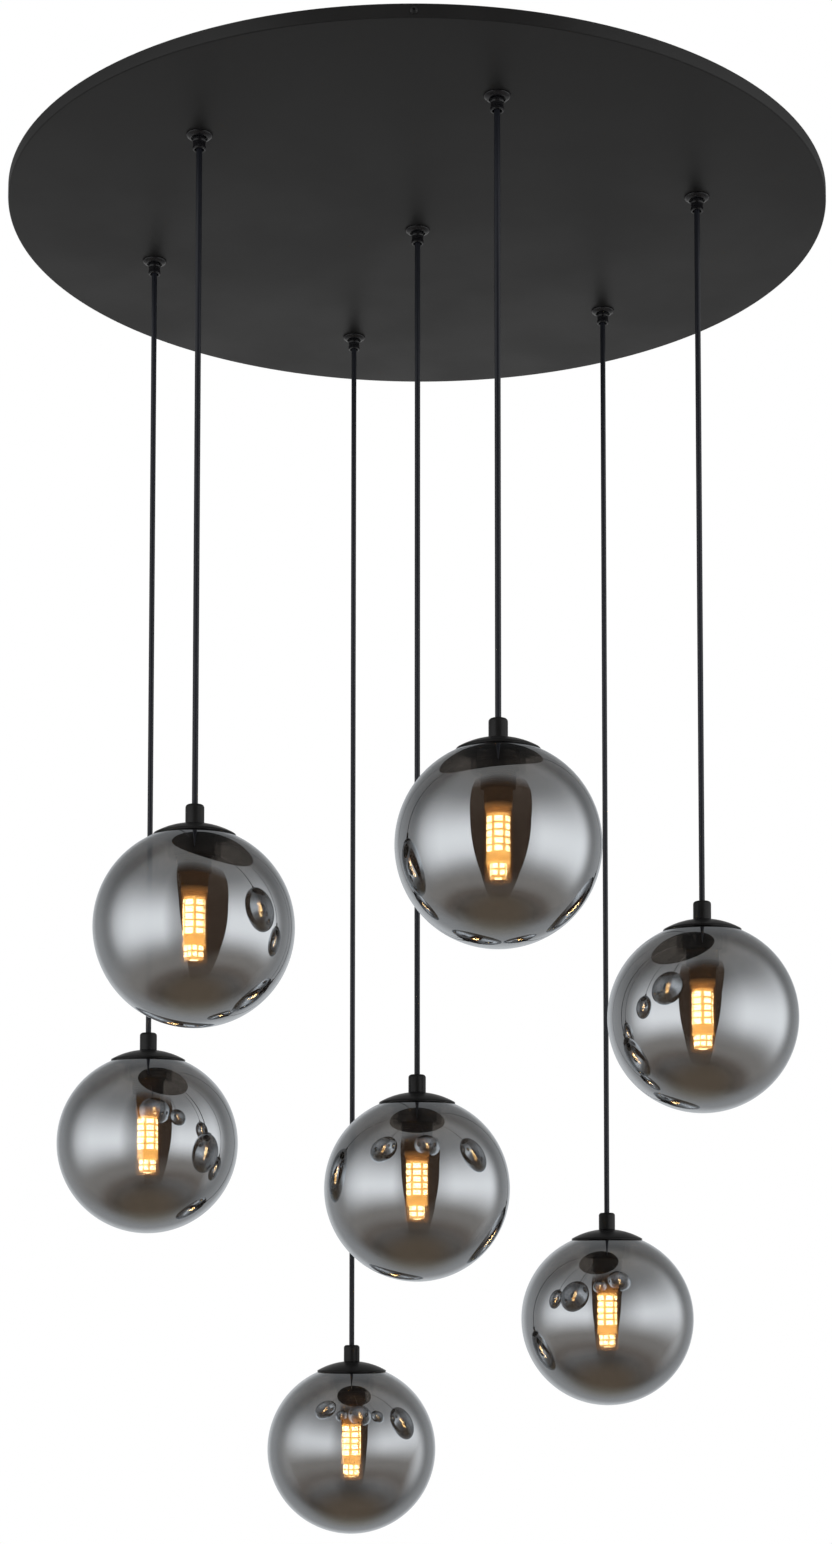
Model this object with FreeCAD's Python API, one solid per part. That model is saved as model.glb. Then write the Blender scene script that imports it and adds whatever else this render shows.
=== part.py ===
import FreeCAD, Part
import math
import os

# A ceiling light: a shallow round canopy from which seven smoked glass globes hang on cords.
# Millimetres, +Z up. The origin is the middle of the ceiling face that the light is fixed to.

# Canopy pan, open at the top, with its rim against the ceiling
CANOPY_RADIUS = 330.0
CANOPY_DEPTH = 10.0
CANOPY_WALL = 1.5
CANOPY_EDGE_ROUND = 1.2

# Where the cords leave the canopy: one in the middle and the others evenly on a circle
RING_RADIUS = 230.0
RING_COUNT = 6
RING_FIRST_ANGLE = 45.0

# From the canopy's underside to each globe's middle: the central one, then round the circle
DROP_CENTRE = 785.0
DROP_BACK_RIGHT = 890.0
DROP_BACK_LEFT = 1005.0
DROP_LEFT = 745.0
DROP_FRONT_LEFT = 600.0
DROP_FRONT = 550.0
DROP_RIGHT = 655.0

# Ceiling bracket: three arms from a hub with a hole for the supply cable
BRACKET_THICKNESS = 2.0
BRACKET_ARMS = 3
BRACKET_FIRST_ANGLE = -90.0
ARM_WIDTH = 30.0
HUB_RADIUS = 50.0
HUB_HOLE_RADIUS = 25.0
CEILING_HOLE_CIRCLE = 220.0
CEILING_HOLE_RADIUS = 2.75
TAB_WIDTH = 16.0
TAB_GAP = 0.3
BEND_ROUND = 1.5

# Rim screws, which hold the canopy to the bracket's tabs
RIM_SCREW_RADIUS = 1.45
RIM_SCREW_LENGTH = 8.0
RIM_SCREW_HEAD_RADIUS = 2.75
RIM_SCREW_HEAD_HEIGHT = 1.6
RIM_SCREW_SOCKET_RADIUS = 1.0
RIM_SCREW_SOCKET_DEPTH = 0.8
RIM_SCREW_EDGE = 0.4
RIM_HOLE_CLEARANCE = 0.25

# Cord, and how far it may swing each way about each of its two axes
CORD_RADIUS = 2.25
SWING_DEG = 5.0

# Cord gland: a flange under the canopy, a threaded stub through it, and a screwed neck
GLAND_FLANGE_RADIUS = 10.0
GLAND_FLANGE_HEIGHT = 3.0
GLAND_FLANGE_EDGE = 0.8
GLAND_STUB_RADIUS = 4.95
GLAND_STUB_STICKOUT = 0.4
GLAND_HOLE_CLEARANCE = 0.2
NECK_LENGTH = 8.7
NECK_SPIGOT = 1.5
NECK_MOUTH_WALL = 0.6
SOCKET_WALL = 1.4
NUT_ACROSS_FLATS = 14.0
NUT_HEIGHT = 2.5

# Rubber ball in the gland, in which the cord swings
BALL_RADIUS = 4.3

# Clearances: threads and seats in one body, and between parts that move
FIT = 0.05
MOVING_GAP = 0.3

# Glass globe with a collar turned inwards round its mouth
GLOBE_RADIUS = 74.0
GLOBE_WALL = 2.0
COLLAR_WALL = 3.5
COLLAR_LENGTH = 20.0
MOUTH_ROUND = 3.0
COLLAR_CLEARANCE = 0.5

# Cap over the globe's mouth, and the cord grip on top of it
CAP_RADIUS = 30.4
CAP_RISE = 8.2
CAP_LIP = 1.2
CAP_WALL = 0.8
GRIP_RADIUS = 7.0
GRIP_HEIGHT = 14.5
GRIP_ROUND = 2.5
GRIP_SPIGOT_RADIUS = 4.95
GRIP_SPIGOT_LENGTH = 7.5

# Lampholder with an outside thread, and the ring nut on it. Drops are below the top of the ball
# that the globe's outside follows
HOLDER_RADIUS = 12.7
HOLDER_THREAD_PITCH = 1.5
HOLDER_THREAD_DEPTH = 0.6
HOLDER_THREAD_END_DROP = 33.6
HOLDER_NOSE_RADIUS = 10.35
HOLDER_NOSE_END_DROP = 43.5
HOLDER_FLOOR_DROP = 22.0
HOLDER_CAVITY_RADIUS = 9.0
RING_NUT_RADIUS = 15.5
RING_NUT_TOP_DROP = 7.4
RING_NUT_HEIGHT = 12.9
RING_NUT_RIDGES = 4
RING_NUT_RIDGE_PITCH = 2.0
RING_NUT_RIDGE_DEPTH = 0.5

# Two-pin bulb: base, clear cover and the core that carries the diodes
PIN_SPACING = 9.0
PIN_WIDTH = 3.0
PIN_THICKNESS = 1.0
PIN_LENGTH = 9.0
PIN_CLEARANCE = 0.3
BULB_RADIUS = 10.0
BULB_BASE_HEIGHT = 4.2
BULB_BASE_SPIGOT = 4.0
BULB_LENGTH = 57.2
BULB_COVER_WALL = 0.8
BULB_END_ROUND = 2.5
CORE_RADIUS = 8.6
CORE_SIDES = 6
CORE_LENGTH = 33.6
STEM_WIDTH = 6.0
STEM_LENGTH = 13.4

# Single leads inside the canopy, and the connectors that they run to
LEAD_RADIUS = 0.9
LEAD_PAIR_OFFSET = 1.05
LEAD_FLOOR_GAP = 0.1
LEAD_LAYER_GAP = 0.25
LEAD_TURN_REACH = 2.6
LEAD_OVER_NUT_REACH = 9.0
LEAD_LANDING_REACH = 24.0
LEAD_APPROACH = 15.0
BEND_SHARE = 0.45
CONNECTOR_CIRCLE_RADIUS = 75.0
CONNECTOR_FIRST_ANGLE = 90.0
CONNECTOR_WIDTH = 18.0
CONNECTOR_HEIGHT = 7.0
CONNECTOR_ROUND = 1.0
CONNECTOR_END = 6.0
LIVE, NEUTRAL, EARTH = 0, 1, 2
SUPPLY_ROWS = 4
EARTH_ROWS = 2
PORT_PITCH = 8.0
PORT_HEIGHT = 3.5
PORT_DEPTH = 7.0
PORT_CLEARANCE = 0.2
LEVER_LENGTH = 6.5
LEVER_WIDTH = 5.0
LEVER_HEIGHT = 0.8
LEVER_INSET = 1.0

# Earth stud on the canopy's inside, with its ring tag and nut
STUD_RADIUS = 2.0
STUD_OUT = 100.0
STUD_ASIDE = 30.0
TAG_RADIUS = 4.5
TAG_THICKNESS = 0.8
TAG_BARREL_LENGTH = 9.0
TAG_BARREL_WALL = 0.4
STUD_NUT_ACROSS_FLATS = 7.0
STUD_NUT_HEIGHT = 2.2
STUD_STICKOUT = 0.6

UP = FreeCAD.Vector(0, 0, 1)

# Heights that follow from the canopy
UNDERSIDE = -CANOPY_DEPTH
FLOOR = UNDERSIDE + CANOPY_WALL
NUT_TOP = FLOOR + NUT_HEIGHT
STUB_TOP = NUT_TOP + GLAND_STUB_STICKOUT
FLANGE_BOTTOM = UNDERSIDE - GLAND_FLANGE_HEIGHT
NECK_MOUTH = FLANGE_BOTTOM - NECK_LENGTH
SOCKET_RADIUS = BALL_RADIUS + MOVING_GAP
PIVOT = FLANGE_BOTTOM
STUB_BORE = LEAD_PAIR_OFFSET + LEAD_RADIUS + 2 * LEAD_FLOOR_GAP + MOVING_GAP

# Heights of the lampholder and the cap above the globe's middle
HOLDER_THREAD_END = GLOBE_RADIUS - HOLDER_THREAD_END_DROP
HOLDER_NOSE_END = GLOBE_RADIUS - HOLDER_NOSE_END_DROP
HOLDER_FLOOR = GLOBE_RADIUS - HOLDER_FLOOR_DROP
RING_NUT_TOP = GLOBE_RADIUS - RING_NUT_TOP_DROP
CAP_SEAT_RADIUS = GLOBE_RADIUS + MOVING_GAP
CAP_DOME_BASE = math.sqrt(CAP_SEAT_RADIUS**2 - CAP_RADIUS**2) + CAP_LIP
CAP_DOME_RADIUS = (CAP_RADIUS**2 + CAP_RISE**2) / (2 * CAP_RISE)
CAP_DOME_MIDDLE = CAP_DOME_BASE + CAP_RISE - CAP_DOME_RADIUS
CAP_TOP = CAP_DOME_MIDDLE + math.sqrt(CAP_DOME_RADIUS**2 - GRIP_RADIUS**2)
CAP_INNER_DOME = CAP_DOME_RADIUS - CAP_WALL
CAP_INNER_TOP = CAP_DOME_MIDDLE + math.sqrt(CAP_INNER_DOME**2 - HOLDER_RADIUS**2)
BULB_TOP = HOLDER_NOSE_END - MOVING_GAP


def ring_place(n):
    """Where the ring's nth cord leaves the canopy."""
    angle = math.radians(RING_FIRST_ANGLE + 360.0 * n / RING_COUNT)
    return RING_RADIUS * math.cos(angle), RING_RADIUS * math.sin(angle)


RING_DROPS = [
    DROP_BACK_RIGHT,
    DROP_BACK_LEFT,
    DROP_LEFT,
    DROP_FRONT_LEFT,
    DROP_FRONT,
    DROP_RIGHT,
]
PLACES = [(0.0, 0.0)] + [ring_place(n) for n in range(RING_COUNT)]
DROPS = [DROP_CENTRE] + [RING_DROPS[n % len(RING_DROPS)] for n in range(RING_COUNT)]


def on_ball(middle, radius, r):
    """The height at which a ball about the axis has this radius, over its middle."""
    return middle + math.sqrt(radius**2 - r**2)


def under_ball(middle, radius, r):
    """The same, under its middle."""
    return middle - math.sqrt(radius**2 - r**2)


def round_to(centre, start, end):
    """An arc about a centre in a turned outline, as its middle and its end."""
    to_start = [a - b for a, b in zip(start, centre)]
    to_end = [a - b for a, b in zip(end, centre)]
    half = [a + b for a, b in zip(to_start, to_end)]
    scale = math.hypot(*to_start) / math.hypot(*half)
    return tuple(c + h * scale for c, h in zip(centre, half)), end


def domed(start, end):
    """A round_to about the point of the axis that is as far from both."""
    middle = (math.hypot(*end) ** 2 - math.hypot(*start) ** 2) / (2 * (end[1] - start[1]))
    return round_to((0, middle), start, end)


def turned(place, start, *steps):
    """A solid turned about the upright line through place. Each step is the end of a straight
    edge, as radius and height, or the middle and the end of an arc."""

    def at(point):
        return FreeCAD.Vector(point[0], 0, point[1])

    edges, here = [], start
    for step in [*steps, start]:
        if isinstance(step[0], tuple):
            edges.append(Part.Arc(at(here), at(step[0]), at(step[1])).toShape())
            here = step[1]
        elif step != here:
            edges.append(Part.makeLine(at(here), at(step)))
            here = step
    solid = Part.Face(Part.Wire(edges)).revolve(FreeCAD.Vector(), UP, 360)
    solid.translate(FreeCAD.Vector(place[0], place[1], 0))
    return solid


def upright(place, radius, low, high):
    """An upright cylinder between two heights."""
    return Part.makeCylinder(radius, high - low, FreeCAD.Vector(place[0], place[1], low))


def upright_cut(place, radius):
    """An upright cylinder as long as the canopy is deep, past it at both ends."""
    return upright(place, radius, UNDERSIDE - CANOPY_DEPTH, CANOPY_DEPTH)


def block(low, high):
    """A box between two corners."""
    low, high = FreeCAD.Vector(*low), FreeCAD.Vector(*high)
    size = high - low
    return Part.makeBox(size.x, size.y, size.z, low)


def swung(shape, degrees):
    """A copy turned about the canopy's axis."""
    copy = shape.copy()
    copy.rotate(FreeCAD.Vector(), UP, degrees)
    return copy


def hexagon(place, across_flats, low, high):
    """An upright hexagonal prism."""
    reach = across_flats / math.sqrt(3)
    corners = [
        FreeCAD.Vector(
            place[0] + reach * math.cos(math.radians(60 * n)),
            place[1] + reach * math.sin(math.radians(60 * n)),
            low,
        )
        for n in range(7)
    ]
    return Part.Face(Part.makePolygon(corners)).extrude(UP * (high - low))


def tube(points, radius):
    """A lead along straight runs joined by tangent arcs."""
    edges, here, radii = [], points[0], []
    for before, corner, after in zip(points, points[1:], points[2:]):
        back, on = before - corner, after - corner
        reach = BEND_SHARE * min(back.Length, on.Length)
        back.normalize()
        on.normalize()
        start, end = corner + back * reach, corner + on * reach
        half_turn = (math.pi - back.getAngle(on)) / 2
        radii.append(reach / math.tan(half_turn))
        towards = (back + on).normalize()
        middle = corner + towards * radii[-1] * (1 / math.cos(half_turn) - 1)
        edges += [Part.makeLine(here, start), Part.Arc(start, middle, end).toShape()]
        here = end
    edges.append(Part.makeLine(here, points[-1]))
    path = Part.Wire(edges)
    ring = Part.Wire(Part.makeCircle(radius, points[0], points[1] - points[0]))
    solid = path.makePipeShell([ring], True, False)
    share = solid.Volume / (math.pi * radius**2 * path.Length)
    print(f"lead {path.Length:.0f} mm, least arc {min(radii):.1f} mm, volume share {share:.4f}")
    return solid


def canopy_disc():
    """The pan, with holes for the glands and the rim screws."""
    pan = upright((0, 0), CANOPY_RADIUS, UNDERSIDE, 0)
    low_edge = [e for e in pan.Edges if abs(e.BoundBox.ZMax - UNDERSIDE) < FIT]
    pan = pan.makeFillet(CANOPY_EDGE_ROUND, low_edge)
    pan = pan.cut(upright((0, 0), CANOPY_RADIUS - CANOPY_WALL, FLOOR, CANOPY_DEPTH))
    hole = GLAND_STUB_RADIUS + GLAND_HOLE_CLEARANCE
    glands = [upright_cut(place, hole) for place in PLACES]
    screws = [rim_bore(n, RIM_SCREW_RADIUS + RIM_HOLE_CLEARANCE) for n in range(BRACKET_ARMS)]
    return pan.cut(glands + screws)


def arm_angle(n):
    return BRACKET_FIRST_ANGLE + 360.0 * n / BRACKET_ARMS


def rim_bore(n, radius):
    """A cylinder along the nth rim screw, through the rim and the bracket's tab."""
    start = FreeCAD.Vector(CANOPY_RADIUS - RIM_SCREW_LENGTH, 0, UNDERSIDE / 2)
    length = RIM_SCREW_LENGTH + RIM_SCREW_HEAD_HEIGHT
    return swung(Part.makeCylinder(radius, length, start, FreeCAD.Vector(1, 0, 0)), arm_angle(n))


def bracket_arm():
    """One arm, narrower at its end, with a tab bent down that the rim screw goes into."""
    face = CANOPY_RADIUS - CANOPY_WALL - TAB_GAP
    half, low = TAB_WIDTH / 2, FLOOR + TAB_GAP
    arm = block((0, -ARM_WIDTH / 2, -BRACKET_THICKNESS), (face - TAB_WIDTH, ARM_WIDTH / 2, 0))
    end = block((0, -half, -BRACKET_THICKNESS), (face, half, 0))
    tab = block((face - BRACKET_THICKNESS, -half, low), (face, half, 0))
    arm = arm.fuse([end, tab]).removeSplitter()
    bend = [e for e in arm.Edges if e.BoundBox.XMin > face - FIT and e.BoundBox.ZMin > -FIT]
    return arm.makeFillet(BEND_ROUND, bend)


def ceiling_bracket():
    """The hub and its arms, with holes for the supply cable and the screws."""
    hub = upright((0, 0), HUB_RADIUS, -BRACKET_THICKNESS, 0)
    arm, hole = bracket_arm(), upright_cut((CEILING_HOLE_CIRCLE / 2, 0), CEILING_HOLE_RADIUS)
    plate = hub.fuse([swung(arm, arm_angle(n)) for n in range(BRACKET_ARMS)]).removeSplitter()
    cuts = [upright_cut((0, 0), HUB_HOLE_RADIUS)]
    for n in range(BRACKET_ARMS):
        cuts += [swung(hole, arm_angle(n)), rim_bore(n, RIM_SCREW_RADIUS + FIT)]
    return plate.cut(cuts)


def rim_screws():
    """Screws with domed heads, each turned upright and then laid along its hole."""
    seat, top = FIT, FIT + RIM_SCREW_HEAD_HEIGHT
    edge, crown = (RIM_SCREW_HEAD_RADIUS, seat + RIM_SCREW_EDGE), (RIM_SCREW_SOCKET_RADIUS, top)
    screw = turned(
        (0, 0),
        (0.0, -RIM_SCREW_LENGTH),
        (RIM_SCREW_RADIUS, -RIM_SCREW_LENGTH),
        (RIM_SCREW_RADIUS, seat),
        (RIM_SCREW_HEAD_RADIUS, seat),
        edge,
        domed(edge, crown),
        (RIM_SCREW_SOCKET_RADIUS, top - RIM_SCREW_SOCKET_DEPTH),
        (0.0, top - RIM_SCREW_SOCKET_DEPTH),
    )
    screw.rotate(FreeCAD.Vector(), FreeCAD.Vector(0, 1, 0), 90)
    screw.translate(FreeCAD.Vector(CANOPY_RADIUS, 0, UNDERSIDE / 2))
    return Part.makeCompound([swung(screw, arm_angle(n)) for n in range(BRACKET_ARMS)])


def swing_bore(depth):
    """The radius that clears the cord so far below its pivot when it leans both ways at once."""
    lean = math.radians(SWING_DEG) * math.sqrt(2)
    return CORD_RADIUS / math.cos(lean) + depth * math.tan(lean) + MOVING_GAP


def gland_body(place):
    """Domed flange under the canopy, with the socket's upper part and a stub up through the pan."""
    spigot = SOCKET_RADIUS + SOCKET_WALL + FIT
    step = FLANGE_BOTTOM + NECK_SPIGOT
    cup = (math.sqrt(SOCKET_RADIUS**2 - NECK_SPIGOT**2), step)
    edge, rim = (GLAND_FLANGE_RADIUS, UNDERSIDE - GLAND_FLANGE_EDGE), (spigot, FLANGE_BOTTOM)
    return turned(
        place,
        (STUB_BORE, STUB_TOP),
        (GLAND_STUB_RADIUS, STUB_TOP),
        (GLAND_STUB_RADIUS, UNDERSIDE),
        (GLAND_FLANGE_RADIUS, UNDERSIDE),
        edge,
        domed(edge, rim),
        (spigot, step),
        cup,
        round_to((0, PIVOT), cup, (STUB_BORE, on_ball(PIVOT, SOCKET_RADIUS, STUB_BORE))),
    )


def gland_neck(place):
    """Neck screwed into the flange: it holds the ball and widens towards its mouth."""
    spigot, step = SOCKET_RADIUS + SOCKET_WALL, FLANGE_BOTTOM + NECK_SPIGOT
    cup = (math.sqrt(SOCKET_RADIUS**2 - NECK_SPIGOT**2), step)
    throat = swing_bore(SOCKET_RADIUS)
    throat = (throat, under_ball(PIVOT, SOCKET_RADIUS, throat))
    mouth = swing_bore(PIVOT - NECK_MOUTH)
    return turned(
        place,
        cup,
        (spigot, step),
        (spigot, FLANGE_BOTTOM - FIT),
        (mouth + NECK_MOUTH_WALL, NECK_MOUTH),
        (mouth, NECK_MOUTH),
        throat,
        round_to((0, PIVOT), throat, cup),
    )


def gland_nut(place):
    """Flat hexagon nut on the canopy's floor."""
    nut = hexagon(place, NUT_ACROSS_FLATS, FLOOR, NUT_TOP)
    return nut.cut(upright_cut(place, GLAND_STUB_RADIUS + FIT))


def gland_ball(place):
    """Ball with a bore that widens both ways, so that the cord can lean in it."""
    waist = CORD_RADIUS + MOVING_GAP
    end = waist + BALL_RADIUS * math.tan(math.radians(SWING_DEG))
    top = (end, on_ball(PIVOT, BALL_RADIUS, end))
    low = (end, under_ball(PIVOT, BALL_RADIUS, end))
    return turned(place, top, round_to((0, PIVOT), top, low), (waist, PIVOT))


def cord(place, globe):
    """Cord from the ball, where its end is round, down to the lampholder's inner floor."""
    end = globe + HOLDER_FLOOR
    top = (0.0, PIVOT + CORD_RADIUS)
    side = (CORD_RADIUS, PIVOT)
    return turned(place, (0.0, end), (CORD_RADIUS, end), side, round_to((0, PIVOT), side, top))


def cord_grip(place, globe):
    """Round grip on the cap, with a threaded spigot down into the lampholder."""
    low, high = globe + CAP_TOP, globe + CAP_TOP + GRIP_HEIGHT
    foot = globe + CAP_INNER_TOP - GRIP_SPIGOT_LENGTH
    shoulder = (GRIP_RADIUS, high - GRIP_ROUND)
    crown = (GRIP_RADIUS - GRIP_ROUND, high)
    return turned(
        place,
        (CORD_RADIUS + FIT, foot),
        (GRIP_SPIGOT_RADIUS, foot),
        (GRIP_SPIGOT_RADIUS, low),
        (GRIP_RADIUS, low),
        shoulder,
        round_to((GRIP_RADIUS - GRIP_ROUND, high - GRIP_ROUND), shoulder, crown),
        (CORD_RADIUS + FIT, high),
    )


def cap(place, globe):
    """Domed cap whose lip follows the glass just clear of it."""
    inner = CAP_RADIUS - CAP_WALL
    dome = (0, globe + CAP_DOME_MIDDLE)
    lip = (CAP_RADIUS, on_ball(globe, CAP_SEAT_RADIUS, CAP_RADIUS))
    lip_inner = (inner, on_ball(globe, CAP_SEAT_RADIUS, inner))
    base = (CAP_RADIUS, globe + CAP_DOME_BASE)
    top = (GRIP_RADIUS, globe + CAP_TOP)
    inner_top = (HOLDER_RADIUS, globe + CAP_INNER_TOP)
    inner_base = (inner, on_ball(dome[1], CAP_INNER_DOME, inner))
    bore = GRIP_SPIGOT_RADIUS + FIT
    return turned(
        place,
        lip_inner,
        lip,
        base,
        round_to(dome, base, top),
        (bore, globe + CAP_TOP),
        (bore, globe + CAP_INNER_TOP),
        inner_top,
        round_to(dome, inner_top, inner_base),
    )


def ridges(crest, root, high, pitch, count):
    """The outline of a row of ridges, going down from a height."""
    points = []
    for n in range(count):
        points += [(root, high - pitch * n), (crest, high - pitch * (n + 0.5))]
    return [*points, (root, high - pitch * count)]


def lampholder(place, globe):
    """Threaded holder with its terminals' cavity and the bulb's slots, and the ring nut on it."""
    top, nose = globe + CAP_INNER_TOP, globe + HOLDER_NOSE_END
    thread_end = globe + HOLDER_THREAD_END
    floor = globe + HOLDER_FLOOR
    roof = globe + CAP_INNER_TOP - GRIP_SPIGOT_LENGTH - MOVING_GAP
    thread_root = HOLDER_RADIUS - HOLDER_THREAD_DEPTH
    turns = int((top - thread_end) / HOLDER_THREAD_PITCH)
    body = turned(
        place,
        (GRIP_SPIGOT_RADIUS + FIT, top),
        *ridges(HOLDER_RADIUS, thread_root, top, HOLDER_THREAD_PITCH, turns),
        (thread_root, thread_end),
        (HOLDER_NOSE_RADIUS, thread_end),
        (HOLDER_NOSE_RADIUS, nose),
        (0.0, nose),
        (0.0, floor),
        (HOLDER_CAVITY_RADIUS, floor),
        (HOLDER_CAVITY_RADIUS, roof),
        (GRIP_SPIGOT_RADIUS + FIT, roof),
    )
    slots = [pin(place, globe, side, PIN_CLEARANCE) for side in (-1, 1)]
    return Part.makeCompound([body.cut(slots), ring_nut(place, globe)])


def ring_nut(place, globe):
    """Ring nut with raised ridges round its upper half."""
    high, low = globe + RING_NUT_TOP, globe + RING_NUT_TOP - RING_NUT_HEIGHT
    root = RING_NUT_RADIUS - RING_NUT_RIDGE_DEPTH
    return turned(
        place,
        (HOLDER_RADIUS + FIT, high),
        *ridges(RING_NUT_RADIUS, root, high, RING_NUT_RIDGE_PITCH, RING_NUT_RIDGES),
        (RING_NUT_RADIUS, high - RING_NUT_RIDGE_PITCH * RING_NUT_RIDGES),
        (RING_NUT_RADIUS, low),
        (HOLDER_RADIUS + FIT, low),
    )


def pin(place, globe, side, spare=0.0):
    """One of the bulb's two flat pins, or with spare room round it, its slot."""
    x, y = place[0] + side * PIN_SPACING / 2, place[1]
    thick, wide = PIN_THICKNESS / 2 + spare, PIN_WIDTH / 2 + spare
    low, high = globe + BULB_TOP - spare, globe + BULB_TOP + PIN_LENGTH + spare
    return block((x - thick, y - wide, low), (x + thick, y + wide, high))


def bulb(place, globe):
    """Base with two pins, clear cover, and the core and stem that carry the diodes."""
    top = globe + BULB_TOP
    shoulder, spigot = top - BULB_BASE_HEIGHT, top - BULB_BASE_HEIGHT - BULB_BASE_SPIGOT
    low, bore = top - BULB_LENGTH, BULB_RADIUS - BULB_COVER_WALL
    base = turned(
        place,
        (0.0, top),
        (BULB_RADIUS - FIT, top),
        (BULB_RADIUS - FIT, shoulder),
        (bore - FIT, shoulder),
        (bore - FIT, spigot),
        (0.0, spigot),
    )
    side, end = (BULB_RADIUS, low + BULB_END_ROUND), (BULB_RADIUS - BULB_END_ROUND, low)
    cover = turned(
        place,
        (bore, shoulder),
        (BULB_RADIUS, shoulder),
        side,
        round_to((end[0], side[1]), side, end),
        (0.0, low),
        (0.0, low + BULB_COVER_WALL),
        (bore - BULB_END_ROUND, low + BULB_COVER_WALL),
        (bore, low + BULB_END_ROUND),
    )
    corners = [
        FreeCAD.Vector(
            place[0] + CORE_RADIUS * math.cos(2 * math.pi * n / CORE_SIDES),
            place[1] + CORE_RADIUS * math.sin(2 * math.pi * n / CORE_SIDES),
            spigot,
        )
        for n in range(CORE_SIDES + 1)
    ]
    core = Part.Face(Part.makePolygon(corners)).extrude(UP * -CORE_LENGTH)
    half = STEM_WIDTH / 2
    stem = block(
        (place[0] - half, place[1] - half, spigot - CORE_LENGTH - STEM_LENGTH),
        (place[0] + half, place[1] + half, spigot - CORE_LENGTH),
    )
    pins = [pin(place, globe, side) for side in (-1, 1)]
    return Part.makeCompound([base.fuse(pins), cover, core.fuse(stem).removeSplitter()])


def globe_glass(place, globe):
    """Blown globe whose mouth turns inwards to a collar that goes up round the ring nut."""
    bore = RING_NUT_RADIUS + COLLAR_CLEARANCE
    outside = bore + COLLAR_WALL
    inner = GLOBE_RADIUS - GLOBE_WALL
    mouth = (bore + MOUTH_ROUND, on_ball(globe, GLOBE_RADIUS, bore + MOUTH_ROUND))
    bore_top = (bore, mouth[1] - MOUTH_ROUND)
    lip = mouth[1] - COLLAR_LENGTH + COLLAR_WALL / 2
    root = (outside, on_ball(globe, inner, outside))
    bottom, inner_bottom = (0.0, globe - GLOBE_RADIUS), (0.0, globe - inner)
    return turned(
        place,
        bottom,
        round_to((0, globe), bottom, mouth),
        round_to((mouth[0], bore_top[1]), mouth, bore_top),
        (bore, lip),
        (((bore + outside) / 2, lip - COLLAR_WALL / 2), (outside, lip)),
        root,
        round_to((0, globe), root, inner_bottom),
    )


def connector_point(which, out, aside, height):
    """A point near one of the connectors, given along and across its radius."""
    angle = math.radians(connector_angle(which))
    x = out * math.cos(angle) - aside * math.sin(angle)
    y = out * math.sin(angle) + aside * math.cos(angle)
    return FreeCAD.Vector(x, y, height)


def connector_angle(which):
    return CONNECTOR_FIRST_ANGLE + 360.0 * which / BRACKET_ARMS


def port_out(row):
    """How far from the canopy's axis a row of ports lies: row 0 is the nearest."""
    return CONNECTOR_CIRCLE_RADIUS + PORT_PITCH * (row - (SUPPLY_ROWS - 1) / 2)


def connector(which, rows):
    """Splicing connector with two ports to a row, one each side, and a lever over each."""
    half, top = CONNECTOR_WIDTH / 2, FLOOR + CONNECTOR_HEIGHT
    outs = [port_out(row) for row in range(rows)]
    near, far = min(outs) - CONNECTOR_END, max(outs) + CONNECTOR_END
    body = block((near, -half, FLOOR), (far, half, top))
    corners = [e for e in body.Edges if e.BoundBox.ZLength > CONNECTOR_HEIGHT - FIT]
    body = body.makeFillet(CONNECTOR_ROUND, corners)
    ports, levers = [], []
    for out in outs:
        for side in (-1, 1):
            start = FreeCAD.Vector(out, side * (half - PORT_DEPTH), FLOOR + PORT_HEIGHT)
            along = FreeCAD.Vector(0, side, 0)
            ports.append(Part.makeCylinder(LEAD_RADIUS + PORT_CLEARANCE, half, start, along))
            lever = sorted([side * (half - LEVER_INSET), side * (half - LEVER_INSET - LEVER_LENGTH)])
            low = (out - LEVER_WIDTH / 2, lever[0], top)
            levers.append(block(low, (out + LEVER_WIDTH / 2, lever[1], top + LEVER_HEIGHT)))
    return [swung(piece, connector_angle(which)) for piece in [body.cut(ports), *levers]]


def port_for(n, which):
    """The port that the nth cord's lead goes to, as its row and side, so that none cross."""
    if n == 0:
        return 0, 1
    turn = RING_FIRST_ANGLE + 360.0 * (n - 1) / RING_COUNT - connector_angle(which)
    turn = (turn + 180.0) % 360.0 - 180.0
    return SUPPLY_ROWS - 1 - int(abs(turn) * RING_COUNT // 360.0), (1 if turn > 0 else -1)


def port_points(which, row, side, layer):
    """The points of a lead before a port, at its mouth and at its bottom."""
    half, out = CONNECTOR_WIDTH / 2, port_out(row)
    return [
        connector_point(which, out, side * (half + LEAD_APPROACH), layer),
        connector_point(which, out, side * half, FLOOR + PORT_HEIGHT),
        connector_point(which, out, side * (half - PORT_DEPTH), FLOOR + PORT_HEIGHT),
    ]


def heading_to(place, n, which):
    """The level direction from a gland to where its lead turns into the port."""
    spot = port_points(which, *port_for(n, which), 0)[0]
    return (spot - FreeCAD.Vector(place[0], place[1], 0)).normalize()


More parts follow.
